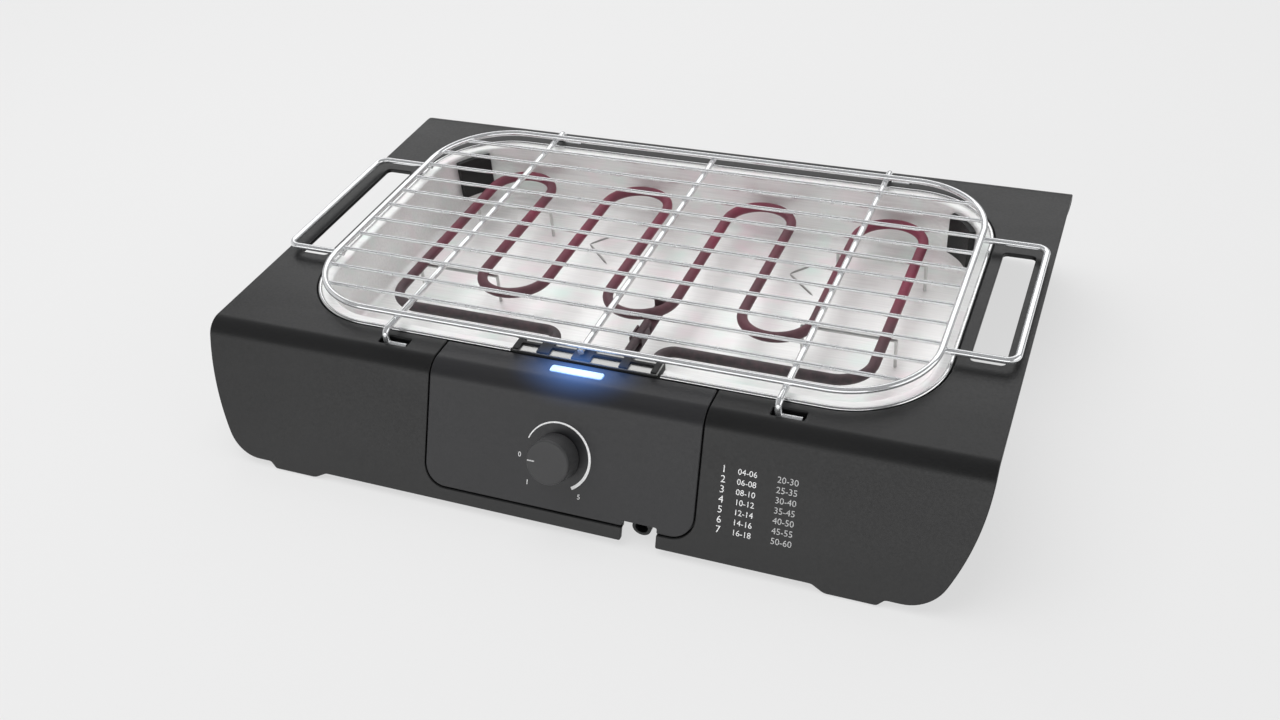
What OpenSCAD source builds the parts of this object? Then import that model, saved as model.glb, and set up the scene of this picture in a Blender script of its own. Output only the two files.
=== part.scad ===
// Table-top electric barbecue grill: bent plastic housing on four feet, lift-out reflector tray,
// lift-out control unit with its heating element, and a lift-off chromed wire rack.
// X runs along the grill, the control panel faces -Y, and Z = 0 is the table.

/* [Housing] */
// Length over the two grip ends
housing_len = 503; // [496:1:510]
// Depth of the top plane between the lines where the sloping faces would meet it
top_depth = 303; // [301:0.5:306]
// Height of the top plane over the table
top_z = 83.5; // [82:0.5:88]
// Tilt of the front and back faces from the vertical, wider at the bottom
face_tilt = 23.9; // [22:0.1:26]
// Wall of the moulded housing
wall = 3; // [2.6:0.1:3.2]
// Radius of the rounded shoulders
shoulder_r = 14; // [12:0.5:15]
// Radius of the side edges of the sloping faces, which curve in towards the feet
side_r = 161; // [150:1:180]
// Radius of the lower corners of the sloping faces
corner_r = 26.3; // [24:0.1:28]
// Lower edge of the sloping faces, measured down the slope
face_s = 86.5; // [86:0.1:87]
// Height of the moulded feet over the table, carried on the rubber pads
foot_z = 0.8; // [0.6:0.1:1.2]

/* [Cooking well] */
// Half length of the opening for the tray
well_hx = 212.2; // [212:0.1:213]
// Half depth of the opening for the tray
well_hy = 127.4; // [127:0.1:128]
// Corner radius of the opening
well_r = 60.8; // [60:0.1:61.5]
// Width of the tray's flat rim, with its rolled edge
rim_w = 9.4; // [9:0.1:10]
// Depth of the reflector tray below the top plane
tray_depth = 45; // [42:0.5:48]
// Thickness of the tray's sheet steel
tray_t = 0.8; // [0.6:0.1:1]

/* [Grip holes] */
// Inner edge of each hand hole, from the middle
hole_x0 = 219.5; // [219:0.5:221]
// Outer edge of each hand hole, from the middle
hole_x1 = 240; // [238:0.5:241]
// Half length of each hand hole
hole_hy = 60.5; // [57:0.5:61]

/* [Wire rack] */
// Wire of the rack's frame, cross rods and handle loops
heavy_wire = 4.2; // [4:0.1:4.4]
// Wire of the cooking bars
thin_wire = 2.6; // [2.4:0.1:3]
// Half length of the rack's frame
rack_hx = 204.4; // [203:0.1:205]
// Half depth of the rack's frame
rack_hy = 121.7; // [121:0.1:122.5]
// Corner radius of the rack's frame
rack_r = 55; // [52:1:57]
// Cooking bars on each side of the middle one
bars_each_side = 5; // [3:1:5]
// Distance between neighbouring cooking bars
bar_pitch = 20.3; // [19.8:0.1:20.6]
// Height of the cross rods over the top plane
cross_dz = 5.8; // [5.7:0.1:6.4]
// Distance of the outer cross rods from the middle
cross_x = 127.3; // [120:0.1:128]
// Half length of each handle loop
loop_hy = 63; // [61:1:65]
// Outer wire of each handle loop, from the middle
loop_x = 246.5; // [245:0.1:247.8]

/* [Heating element] */
// Diameter of the element's sheath
sheath_d = 7; // [6.6:0.1:7.2]
// Depth of the element's axis below the top plane
element_dz = 20; // [19:0.5:20.5]
// Distance between neighbouring strands
strand_pitch = 47; // [46:0.1:47]
// Sideways place of the coil's middle
coil_x = -2; // [-3:0.5:0]
// Back end of the strands, at the middle of the sheath
element_back = 109.5; // [106:0.5:110]
// Front end of the inner bends, at the middle of the sheath
element_front = -43.5; // [-45:0.5:-40]
// Line of the two runs that lead to the control unit
element_run = -75; // [-76:0.5:-72]

/* [Control unit] */
// Half width of the front panel
panel_hx = 88.1; // [86:0.1:89]
// Seam around the panel
seam = 0.8; // [0.6:0.1:0.9]
// Length of the panel down the sloping face
panel_s = 77.2; // [76.5:0.1:77.6]
// Corner radius at the panel's foot
panel_r = 14; // [12:0.5:15]
// Left end of the head that straddles the tray's rim
head_x0 = -44; // [-46:0.5:-43]
// Right end of the head
head_x1 = 50; // [48:0.5:52]
// Place of the knob down the sloping face
knob_s = 42.5; // [41:0.5:44]
// Diameter of the knob
knob_d = 29; // [28:0.5:31]
// Height of the knob over the panel
knob_h = 15; // [14:0.5:16]
// Length of the light bar
light_len = 34; // [32:1:38]

/* [Hidden] */

$fn = 64;

half_len = housing_len / 2;
half_top = top_depth / 2;
gap = 0.3;                                      // air between pieces that part from each other
shoulder_run = shoulder_r * tan((90 - face_tilt) / 2);
arc_steps = 10;

// Distance down the slope at which the side edge turns into the lower corner
corner_s = (face_s - corner_r) * side_r / (side_r - corner_r);
edge_z = top_z - face_s * cos(face_tilt);
foot_x0 = 160;
foot_x1 = 202;
pad_x = 181;
pad_y = 176;
pad_r = 7;

corner_cx = well_hx - well_r;                   // corner centres that the well, pan and tray share
corner_cy = well_hy - well_r;
skirt_t = 2.5;
skirt_dz = 14;                                  // depth of the well's moulded skirt
ledge = 6.2;                                    // shelf that carries the tray's rim
ledge_dz = 2.4;
ledge_t = 3;

pan_t = 2.5;
pan_top_z = top_z - skirt_dz;
pan_top_r = well_r + 2.3;
pan_foot_r = pan_top_r - 9;
pan_floor_z = 6;
pan_tab_z = top_z - 22;
pan_screw_points = [[-165, 143], [0, 143], [165, 143], [-165, -143], [165, -143]];

bead_r = 1.5;                                   // rolled edge of the tray
tray_out = well_r - 0.8;
tray_in = tray_out - rim_w;
tray_foot = tray_in - 2;
tray_fillet = 5;
rim_z = top_z - ledge_dz + gap + bead_r;        // upper face of the rim, in the middle of the rolled edge
tray_floor_z = top_z - tray_depth;
arrow_points = [[-80, 66], [74, 66]];
post_a = 41;                                    // direction of the posts in the back corners
post_half_a = 16;
post_dz = 33;                                   // foot of the posts below the top plane

head_back = -113.2;
head_front = -127.3;
head_foot = top_z - 27;
head_air = 2;
shield_t = 1.2;
shield_dz = 0.6;
comb_top = top_z + 3.2;
comb_ribs = [[-42, 4], [-24, 8], [1, 12], [28.5, 5.5], [48, 3.5]];

box_back = -130.7;                              // back wall of the control box
box_hx = 80;
box_floor_z = 17.5;
box_wall = 2.5;
box_air = 0.2;
box_screws = [[-70, 32], [70, 32], [-70, 60], [70, 60]];
light_y = -135.3;
light_x = 2.3;

rebate_w = 2.4;                                 // half width and thickness of the shelf behind the seam
rebate_t = 1.8;

cord_x0 = 44;                                   // way out of the mains lead
cord_x1 = 66;
cord_top_s = 74;
cord_r = 4;
cord_x = 55;
cord_z = 10.5;
cord_y = -178;
gland_len = 18;

knob_pos = [0, -half_top - knob_s * sin(face_tilt), top_z - knob_s * cos(face_tilt)];
shaft_r = 3;
nose_r = 5;

strands = 8;
strand_hx = strand_pitch * (strands - 1) / 2;
bend_r = strand_pitch / 2;
outer_r = 22;                                   // bends from the outer strands into the two runs
leg_r = 10;                                     // bends from the runs into the legs
leg_xs = [-37.5, 33];
leg_end = head_back - 5;
sheath_r = sheath_d / 2;
element_z = top_z - element_dz;
bulb_x = 12.5;
bulb_r = 3;
bulb_z = element_z - 0.6;
strap_z = element_z - sheath_r - 1.3;

heavy_r = heavy_wire / 2;
thin_r = thin_wire / 2;
weld = 0.4;                                     // how far welded wires sink into each other
cross_z = top_z + cross_dz;
frame_z = cross_z + heavy_wire - weld;
bar_z = cross_z + heavy_r + thin_r - weld;
hook_y = 137;                                   // bent ends of the outer cross rods
hook_len = 14;
pocket_dz = 6;
pocket_hy = 4;
pocket_back = 3.8;                              // room around the hook along X
pocket_ahead = 16.2;
hook_z = top_z - pocket_dz + gap + heavy_r;
loop_r = 7;

// Outer surface of the sloping front face at a height
function face_y(z) = -half_top - (top_z - z) * tan(face_tilt);

// Distance of the tray's inner wall from the corner centres, at a height
function tray_wall(z) = tray_foot + (tray_in - tray_foot) * (z - tray_floor_z - tray_fillet)
    / (rim_z - tray_floor_z - tray_fillet);

// Height of a point that lies s down the slope
function slope_z(s) = top_z - s * cos(face_tilt);

// Points of an arc in a plane
function arc(c, r, a0, a1, n = arc_steps) =
    [for (i = [0:n]) let (a = a0 + (a1 - a0) * i / n) c + r * [cos(a), sin(a)]];

function reversed(v) = [for (i = [len(v) - 1:-1:0]) v[i]];
function mirrored(v) = [for (p = v) [-p[0], p[1]]];

// Front half of the bent wall's outline, inset by d, as [y, z] from y_back to z_low
function bend_line(d, y_back, z_low) = concat(
    [[y_back, top_z - d]],
    arc([-half_top + shoulder_run, top_z - shoulder_r], shoulder_r - d, 90, 180 - face_tilt),
    [[face_y(z_low) + d / cos(face_tilt), z_low]]);

// Extrudes a [y, z] outline along X
module along_x(x0, x1) {
    translate([x0, 0, 0]) rotate([90, 0, 90]) linear_extrude(x1 - x0) children();
}

// Extrudes an [x, z] outline along Y
module along_y(y0, y1) {
    translate([0, y1, 0]) rotate([90, 0, 0]) linear_extrude(y1 - y0) children();
}

// Box between two corners
module block(a, b) {
    translate(a) cube(b - a);
}

// Cylinder along Y, from y0 to y1
module bore_y(x, z, y0, y1, r) {
    translate([x, y0, z]) rotate([-90, 0, 0]) cylinder(h = y1 - y0, r = r);
}

// Puts children on the sloping front face at the knob, with Z along its outward normal
module on_face() {
    translate(knob_pos) rotate([90 - face_tilt, 0, 0]) children();
}

// Rounded rectangle of half sizes hx and hy
module rounded(hx, hy, r) {
    polygon(concat(arc([hx - r, hy - r], r, 0, 90), arc([r - hx, hy - r], r, 90, 180),
                   arc([r - hx, r - hy], r, 180, 270), arc([hx - r, r - hy], r, 270, 360)));
}

// Rounded rectangle with true round corners, a distance r out from the well's corner centres
module well_outline(r) {
    square([2 * (corner_cx + r), 2 * corner_cy], center = true);
    square([2 * corner_cx, 2 * (corner_cy + r)], center = true);
    for (x = [-corner_cx, corner_cx], y = [-corner_cy, corner_cy]) translate([x, y]) circle(r, $fn = 128);
}

// Sweeps a [distance, z] outline around the well, with its corners about the corner centres
module around_well() {
    for (s = [-1, 1]) {
        translate([0, s * corner_cy, 0]) rotate([90, 0, s * 90])
            linear_extrude(2 * corner_cx, center = true) children();
        translate([s * corner_cx, 0, 0]) rotate([90, 0, 90 - s * 90])
            linear_extrude(2 * corner_cy, center = true) children();
    }
    for (q = [[1, 1, 0], [-1, 1, 90], [-1, -1, 180], [1, -1, 270]])
        translate([q[0] * corner_cx, q[1] * corner_cy, 0]) rotate([0, 0, q[2]])
            rotate_extrude(angle = 90, $fn = 96) children();
}

// Round bar from a to b
module rod(a, b, r) {
    v = b - a;
    translate(a) rotate([0, acos(v[2] / norm(v)), atan2(v[1], v[0])]) cylinder(h = norm(v), r = r);
}

// Bend of a round bar about c, in a level plane
module bend(c, bend_radius, r, a0, sweep) {
    translate(c) rotate([0, 0, a0])
        rotate_extrude(angle = sweep, $fn = 96) translate([bend_radius, 0]) circle(r);
}

// Outline of the sloping faces seen from the front: curved sides, round lower corners and feet
module face_outline() {
    side_x = half_len - side_r;
    side_a = asin(corner_s / side_r);
    corner_x = side_x + (side_r - corner_r) * cos(side_a);
    corner_cs = (side_r - corner_r) * sin(side_a);
    side = [for (i = [0:8]) let (a = side_a * i / 8) [side_x + side_r * cos(a), slope_z(side_r * sin(a))]];
    corner = [for (i = [1:10]) let (a = side_a + (90 - side_a) * i / 10)
              [corner_x + corner_r * cos(a), slope_z(corner_cs + corner_r * sin(a))]];
    right = concat([[half_len, top_z + 1]], side, corner);
    polygon(concat(right, reversed(mirrored(right))));
    for (s = [0, 1]) mirror([s, 0])
        polygon([[foot_x1 + 2, edge_z + 1.5], [foot_x1 - 4, foot_z], [foot_x0 + 8, foot_z],
                 [foot_x0, edge_z + 0.2], [foot_x0 + 2, edge_z + 6]]);
}

// Closed outline of the bent wall
module bent_wall(z_low) {
    front = concat(bend_line(0, 0, z_low), reversed(bend_line(wall, 0, z_low)));
    polygon(front);
    polygon(mirrored(front));
}

// Outline of the panel seen along Y, grown by the seam where it is cut out of the housing
module panel_outline(grow) {
    z_low = slope_z(panel_s) - grow;
    hx = panel_hx + grow;
    r = panel_r + grow;
    right = concat([[hx, top_z + 1]], arc([hx - r, z_low + r], r, 0, -90));
    polygon(concat(right, reversed(mirrored(right))));
}

// Room for the head through the front wall of the well, down to z_low
module head_room(air, z_low) {
    block([head_x0 - air, -142, z_low], [head_x1 + air, -100, top_z + 5]);
}

// Block and webs that carry one rubber pad behind the sloping face
module foot_block() {
    x0 = foot_x0 + 10;
    x1 = foot_x1 - 10;
    y1 = -pad_y + 9;
    block([x0, -pad_y - 9, foot_z], [x1, y1, 4.4]);
    for (x = [x0, x1 - 2.4]) along_x(x, x + 2.4)
        polygon([[face_y(26) + 1, 26], [face_y(foot_z) + 1, foot_z], [y1, foot_z], [y1, 4]]);
}

// Screw boss under the top plate
module boss(p) {
    difference() {
        translate([p[0], p[1], pan_tab_z]) cylinder(h = top_z - 1 - pan_tab_z, r = 4);
        translate([p[0], p[1], pan_tab_z - 1]) cylinder(h = 12, r = 1.6);
    }
}

// Pocket that takes one bent end of a cross rod, grown by t for its walls
module hook_pocket(x, y, t) {
    block([x - pocket_back - t, y - pocket_hy - t, top_z - pocket_dz - t],
          [x + pocket_ahead + t, y + pocket_hy + t, top_z + 1 - t * 2]);
}

// Part of the bent wall between two depths, inside one outline of the panel and outside another
module panel_frame(d0, d1, grow0, grow1) {
    intersection() {
        along_x(-half_len, half_len)
            polygon(concat(bend_line(d0, box_back, foot_z), reversed(bend_line(d1, box_back, foot_z))));
        along_y(-260, box_back) difference() {
            panel_outline(grow1);
            panel_outline(grow0);
        }
    }
}

// Shelf behind the seam, which the panel's edge drops onto
module panel_rebate() {
    difference() {
        union() {
            panel_frame(wall + gap, wall + gap + rebate_t, -rebate_w, rebate_w);
            panel_frame(wall - 0.6, wall + gap + 0.2, seam, rebate_w);
        }
        block([cord_x0, -260, -1], [cord_x1, -100, box_floor_z]);
    }
}

module housing() color("#454546") {
    panel_rebate();
    difference() {
        union() {
            intersection() {
                along_x(-half_len, half_len) bent_wall(foot_z);
                along_y(-half_top - 60, half_top + 60) face_outline();
            }
            for (m = [0, 1], n = [0, 1]) mirror([m, 0, 0]) mirror([0, n, 0]) {
                foot_block();
                // stiffening rib across the grip end
                along_y(104, 106.4) polygon([[hole_x0, top_z - 1], [half_len - 4, top_z - 1],
                                             [half_len - 4, top_z - 6], [hole_x0, top_z - 14]]);
            }
            // skirt of the well and the shelf inside it
            translate([0, 0, pan_top_z]) linear_extrude(skirt_dz - 1) well_outline(well_r + skirt_t);
            for (x = [-cross_x, cross_x], s = [-1, 1]) hook_pocket(x, s * hook_y, 1.5);
            for (p = pan_screw_points) boss(p);
        }
        // opening for the tray, wide above the shelf and narrower below it
        translate([0, 0, top_z - ledge_dz]) linear_extrude(20) well_outline(well_r);
        translate([0, 0, -1]) linear_extrude(top_z) well_outline(well_r - ledge);
        translate([0, 0, pan_top_z - 1])
            linear_extrude(skirt_dz + 1 - ledge_dz - ledge_t) well_outline(well_r);
        // hand holes
        for (s = [-1, 1]) translate([s * (hole_x0 + hole_x1) / 2, 0, top_z - 20])
            linear_extrude(40) rounded((hole_x1 - hole_x0) / 2, hole_hy, 3);
        for (x = [-cross_x, cross_x], s = [-1, 1]) hook_pocket(x, s * hook_y, 0);
        // bay for the control unit
        intersection() {
            along_y(-260, -well_hy - skirt_t - gap) panel_outline(seam);
            along_x(-300, 300) polygon([[-260, -20], [0, -20], [0, 120], [-260, 120]]);
        }
        block([-panel_hx - seam, -well_hy - skirt_t - 1, top_z - wall - 1],
              [panel_hx + seam, -well_hy, top_z + 1]);
        head_room(head_air + 1, head_foot - 4);
        // notch for the mains lead
        block([cord_x0, -260, -1], [cord_x1, -half_top - 10, slope_z(cord_top_s)]);
        // seats of the rubber pads
        for (x = [-pad_x, pad_x], y = [-pad_y, pad_y]) translate([x, y, -1]) cylinder(h = 3.3, r = pad_r);
    }
}

module well_pan() color("#2e2e30") {
    difference() {
        union() {
            around_well() polygon([[pan_top_r, pan_top_z], [pan_foot_r, pan_floor_z],
                                   [pan_foot_r - pan_t, pan_floor_z], [pan_top_r - pan_t, pan_top_z]]);
            translate([0, 0, pan_floor_z]) linear_extrude(pan_t) well_outline(pan_foot_r - 0.8);
            // lugs under the housing's screw bosses
            for (p = pan_screw_points) mirror([0, p[1] < 0 ? 1 : 0, 0])
                block([p[0] - 6, 124.4, pan_tab_z - 3], [p[0] + 6, 149, pan_tab_z]);
            // stiffening ribs across the floor
            for (x = [-132, -60, 60, 132])
                block([x - 1.2, -112, pan_floor_z + pan_t - 0.5], [x + 1.2, 112, pan_floor_z + 12]);
        }
        head_room(head_air + 1, head_foot - 4);
        for (p = pan_screw_points) translate([p[0], p[1], pan_tab_z - 5]) cylinder(h = 10, r = 2);
        // rows of cooling slots
        for (x = [-108:24:108], y = [-60, 0, 60])
            block([x - 2, y - 20, pan_floor_z - 1], [x + 2, y + 20, pan_floor_z + pan_t + 1]);
    }
}

module pan_screws() color("silver") {
    for (p = pan_screw_points) translate([p[0], p[1], pan_tab_z - 3]) {
        difference() {
            translate([0, 0, -2]) cylinder(h = 2, r = 3.4);
            translate([0, 0, -2.1]) cylinder(h = 1.2, r = 1.5, $fn = 6);
        }
        cylinder(h = 12, r = 1.5);
    }
}

module rubber_feet() color("#1c1c1c") {
    for (x = [-pad_x, pad_x], y = [-pad_y, pad_y]) translate([x, y, 0]) {
        cylinder(h = 0.6, r1 = pad_r - 1, r2 = pad_r - 0.4);
        translate([0, 0, 0.6]) cylinder(h = 1.7, r = pad_r - 0.4);
    }
}

// Pressed tray, swept around the well: rolled edge, flat rim, steep wall and rounded foot
module reflector_tray() color("#d9dad8") {
    bead_c = [tray_out - bead_r, rim_z];
    seam_a = asin(tray_t / bead_r);
    fillet_in = arc([tray_foot - tray_fillet, tray_floor_z + tray_fillet], tray_fillet, 0, -90, 5);
    fillet_out = arc([tray_foot - tray_fillet, tray_floor_z + tray_fillet], tray_fillet + tray_t, -90, 0, 5);
    difference() {
        union() {
            around_well() polygon(concat(
                arc(bead_c, bead_r, 180, seam_a - 180, 16),
                [[tray_in + tray_t, rim_z - tray_t]],
                reversed(fillet_out),
                reversed(fillet_in),
                [[tray_in, rim_z]]));
            translate([0, 0, tray_floor_z - tray_t])
                linear_extrude(tray_t) well_outline(tray_foot - tray_fillet);
            // pressed arrow ridges that stiffen the floor
            for (p = arrow_points, s = [-1, 1]) translate([p[0], p[1], tray_floor_z - 0.2])
                rotate([0, 0, s * 47]) translate([-0.8, -0.8, 0]) cube([23, 1.6, 1]);
        }
        head_room(head_air, head_foot - 1.5);
    }
}

// Dark posts against the wall in the back corners of the tray
module tray_corner_posts() color("#262628") {
    z_foot = top_z - post_dz;
    z_head = top_z - 4;
    for (m = [0, 1]) mirror([m, 0, 0]) translate([corner_cx, corner_cy, 0])
        rotate([0, 0, post_a - post_half_a]) rotate_extrude(angle = 2 * post_half_a, $fn = 96)
            polygon([[tray_foot - 4, z_foot], [tray_wall(z_foot) - gap, z_foot],
                     [tray_wall(z_head) - gap, z_head], [tray_in - 4.5, z_head]]);
}

module control_panel() color("#434346") {
    difference() {
        intersection() {
            along_x(-panel_hx, panel_hx) polygon(concat(bend_line(0, -well_hy - 0.4, 0),
                                                        reversed(bend_line(wall, -well_hy - 0.4, 0))));
            along_y(-260, -100) panel_outline(0);
        }
        block([cord_x0, -260, -1], [cord_x1, -half_top - 10, slope_z(cord_top_s)]);
        translate([light_x, light_y, top_z - wall - 1]) linear_extrude(wall + 2)
            rounded(light_len / 2 + 0.1, 3.1, 1.6);
        on_face() translate([0, 0, -wall - 2]) cylinder(h = wall + 4, r = nose_r + 0.2);
    }
}

// Box behind the panel, open to it, with the head that reaches over the tray's rim
module control_back() color("#2a2a2c") {
    inner = wall + box_air;
    difference() {
        union() {
            along_x(-box_hx, box_hx)
                polygon(concat(bend_line(inner, box_back, box_floor_z), [[box_back, box_floor_z]]));
            block([head_x0, box_back - 1, head_foot], [head_x1, head_back, top_z - wall - 0.5]);
            block([head_x0, head_front, head_foot], [head_x1, head_back, top_z + shield_dz]);
        }
        // room for the switchgear
        along_x(-box_hx + box_wall, box_hx - box_wall)
            polygon([[box_back - box_wall, top_z + 5], [box_back - box_wall, box_floor_z + box_wall],
                     [-200, box_floor_z + box_wall], [-200, top_z + 5]]);
        // duct through the head
        block([head_x0 + box_wall, box_back - 6, head_foot + box_wall],
              [head_x1 - box_wall, head_back - 2, top_z - 7]);
        for (x = leg_xs) bore_y(x, element_z, head_back - 3, head_back + 1, sheath_r + 0.4);
        bore_y(bulb_x, bulb_z, head_back - 3, head_back + 1, bulb_r + 0.2);
        // seats of the screws, and the opening over the gland
        for (p = box_screws) {
            bore_y(p[0], p[1], box_back - 1.8, box_back + 1, 3.2);
            bore_y(p[0], p[1], box_back - 5, box_back + 1, 1.6);
        }
        translate([cord_x, cord_y + gland_len - 5, box_floor_z - 1]) cylinder(h = box_wall + 2, r = cord_r);
    }
}

module control_screws() color("silver") {
    for (p = box_screws) difference() {
        union() {
            bore_y(p[0], p[1], box_back - 1.7, box_back - 0.1, 3);
            bore_y(p[0], p[1], box_back - 8, box_back - 1.7, 1.5);
        }
        translate([p[0], box_back - 1.1, p[1]]) rotate([-90, 0, 0]) cylinder(h = 2, r = 1.4, $fn = 6);
    }
}

module light_window() color("#cfe6ff") {
    translate([light_x, light_y, top_z - wall]) linear_extrude(wall + 0.2) rounded(light_len / 2, 3, 1.5);
}

// Lamp board under the light bar
module light_board() color("#2f6b3c") {
    translate([light_x - 21, light_y - 6, top_z - 12]) cube([42, 7.6, 1.6]);
    for (x = [-12, 0, 12]) translate([light_x + x, light_y - 1.5, top_z - 10.4]) cylinder(h = 5, r = 2.2);
}

module thermostat() color("#d8d2c4") {
    on_face() difference() {
        union() {
            translate([-17, -17, -wall - 18]) cube([34, 34, 15]);
            translate([0, 0, -wall - 3]) cylinder(h = 2.9, r = 9);
            translate([0, 0, -wall - 0.2]) cylinder(h = wall + 2.2, r = nose_r);
            for (x = [-12, 12]) translate([x - 3, -21, -wall - 9]) cube([6, 5, 0.9]);
        }
        translate([0, 0, -wall - 10]) cylinder(h = 30, r = shaft_r + 0.05);
    }
}

module thermostat_nut() color("#c0a050") {
    on_face() difference() {
        translate([0, 0, 0.1]) cylinder(h = 1.7, r = 8, $fn = 6);
        translate([0, 0, -1]) cylinder(h = 5, r = nose_r + 0.05);
    }
}

module terminal_block() color("#ece7db") {
    translate([-58, -162, box_floor_z + box_wall + 0.1]) difference() {
        cube([30, 16, 14]);
        for (x = [5, 15, 25]) {
            translate([x, 8, 6]) cylinder(h = 10, r = 2.2);
            translate([x, -1, 6]) rotate([-90, 0, 0]) cylinder(h = 20, r = 1.8);
        }
    }
}

// Moulded elbow that holds the mains lead: level way out, and a riser into the box
module cord_gland() color("#1d1d1e") {
    difference() {
        union() {
            bore_y(cord_x, cord_z, cord_y, cord_y + gland_len, 5.9);
            block([cord_x - 5.9, cord_y + 4, cord_z], [cord_x + 5.9, cord_y + gland_len, box_floor_z - 0.1]);
        }
        bore_y(cord_x, cord_z, cord_y - 1, cord_y + gland_len - 5, cord_r);
        translate([cord_x, cord_y + gland_len - 5, cord_z]) cylinder(h = 10, r = cord_r - 0.4);
    }
}

// Bright plate over the top and back of the head
module heat_shield() color("#c9cac8") {
    difference() {
        union() {
            block([head_x0, head_front + 0.4, top_z + shield_dz + 0.1],
                  [head_x1, head_back + 0.1 + shield_t, top_z + shield_dz + 0.1 + shield_t]);
            block([head_x0, head_back + 0.1, head_foot],
                  [head_x1, head_back + 0.1 + shield_t, top_z + shield_dz + 0.1 + shield_t]);
        }
        for (x = leg_xs) bore_y(x, element_z, head_back - 1, head_back + 3, sheath_r + 0.4);
        bore_y(bulb_x, bulb_z, head_back - 1, head_back + 3, bulb_r + 0.2);
        for (x = [-22, -8, 24], z = [9, 15])
            block([x - 4, head_back - 1, top_z - z - 1], [x + 4, head_back + 3, top_z - z + 1]);
    }
}

// Dark comb on the shield, where the head crosses under the rack
module head_comb() color("#1f1f22") {
    comb_z = top_z + shield_dz + 0.1 + shield_t;
    for (r = comb_ribs)
        block([r[0] - r[1] / 2, head_front + 0.4, comb_z], [r[0] + r[1] / 2, head_back, comb_top]);
    block([comb_ribs[0][0], -120.4, comb_z], [comb_ribs[4][0], -118.4, comb_top]);
}

// Sheathed element: eight strands joined by bends, and two runs that lead to the control unit
module heating_element() color("#6a2f3c") {
    z = element_z;
    back_c = element_back - bend_r;
    front_c = element_front + bend_r;
    left = coil_x - strand_hx;
    right = coil_x + strand_hx;
    for (i = [0:strands - 1]) {
        x = left + i * strand_pitch;
        outer = i == 0 || i == strands - 1;
        rod([x, outer ? element_run + outer_r : front_c, z], [x, back_c, z], sheath_r);
    }
    for (i = [0:2:strands - 2])
        bend([left + (i + 0.5) * strand_pitch, back_c, z], bend_r, sheath_r, 0, 180);
    for (i = [1:2:strands - 3])
        bend([left + (i + 0.5) * strand_pitch, front_c, z], bend_r, sheath_r, 180, 180);
    bend([left + outer_r, element_run + outer_r, z], outer_r, sheath_r, 180, 90);
    bend([right - outer_r, element_run + outer_r, z], outer_r, sheath_r, 270, 90);
    rod([left + outer_r, element_run, z], [leg_xs[0] - leg_r, element_run, z], sheath_r);
    rod([leg_xs[1] + leg_r, element_run, z], [right - outer_r, element_run, z], sheath_r);
    bend([leg_xs[0] - leg_r, element_run - leg_r, z], leg_r, sheath_r, 0, 90);
    bend([leg_xs[1] + leg_r, element_run - leg_r, z], leg_r, sheath_r, 90, 90);
    for (x = leg_xs) rod([x, element_run - leg_r, z], [x, leg_end, z], sheath_r);
}

module element_flanges() color("#c9cac8") {
    for (x = leg_xs) difference() {
        bore_y(x, element_z, head_back + shield_t + 0.2, head_back + shield_t + 1.8, 6);
        bore_y(x, element_z, head_back, head_back + 5, sheath_r + 0.02);
    }
}

module terminal_pins() color("#b8863b") {
    for (x = leg_xs) {
        bore_y(x, element_z, leg_end - 8, leg_end, 1.6);
        block([x - 3.2, leg_end - 14, element_z - 0.4], [x + 3.2, leg_end - 7.5, element_z + 0.4]);
    }
}

// Wire stands that hold the outer strands over the tray
module element_stands() color("#a5a6a4") {
    wire_r = 1.1;
    top = element_z - sheath_r - wire_r - 0.1;
    foot = tray_floor_z + gap;
    for (s = [-1, 1], y = [-20, 70]) {
        x0 = coil_x + s * (strand_hx - strand_pitch - 8);
        x1 = coil_x + s * (strand_hx + 6);
        rod([x0, y, top], [x1, y, top], wire_r);
        for (x = [x0, x1]) {
            translate([x, y, foot]) cylinder(h = top - foot, r = wire_r);
            translate([x, y, top]) sphere(r = wire_r);
        }
    }
}

// Bulb of the thermostat, from the head to the middle bend of the element
module sensor_bulb() color("#3c3a3c") {
    rod([bulb_x, leg_end, bulb_z], [bulb_x, -50, bulb_z], bulb_r);
    translate([bulb_x, -50, bulb_z]) sphere(r = bulb_r);
}

// Strap that carries the bulb and hooks under the middle bend
module sensor_strap() color("#4a474a") {
    hx = bulb_r + 1.3;
    block([bulb_x - hx, -76, strap_z - 0.4], [bulb_x + hx, -23.6, strap_z + 1]);
    for (x = [bulb_x - hx, bulb_x + hx - 1.2]) block([x, -70, strap_z], [x + 1.2, -56, bulb_z + 2]);
    block([bulb_x - hx, -25, strap_z], [bulb_x + hx, -23.6, element_z + 1]);
}

module knob() color("#4a4a4c") {
    on_face() translate([0, 0, 0.8]) difference() {
        h = knob_h - 0.8;
        union() {
            rotate_extrude($fn = 96) polygon(concat(
                [[knob_d / 2 - 2.2, 0], [knob_d / 2, 0]],
                arc([knob_d / 2 - 2, h - 1.6], 1.6, 5, 90, 6),
                [[0, h], [0, h - 2.4], [knob_d / 2 - 3, h - 2.4]]));
            translate([0, 0, 2]) cylinder(h = h - 3, r = 5.4);
            for (a = [0:90:270]) rotate([0, 0, a])
                translate([4.6, -0.6, 3]) cube([knob_d / 2 - 6.6, 1.2, h - 4]);
        }
        translate([0, 0, -1]) cylinder(h = h - 2, r = shaft_r + 0.01);
        // pointer groove
        translate([-0.7, knob_d / 2 - 7.5, h - 0.5]) cube([1.4, 9, 2]);
    }
}

module knob_shaft() color("#b6b7b9") {
    on_face() difference() {
        translate([0, 0, -wall - 8]) cylinder(h = wall + 8 + knob_h - 3.4, r = shaft_r);
        translate([1.8, -5, 4]) cube([5, 10, 30]);
    }
}

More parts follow.
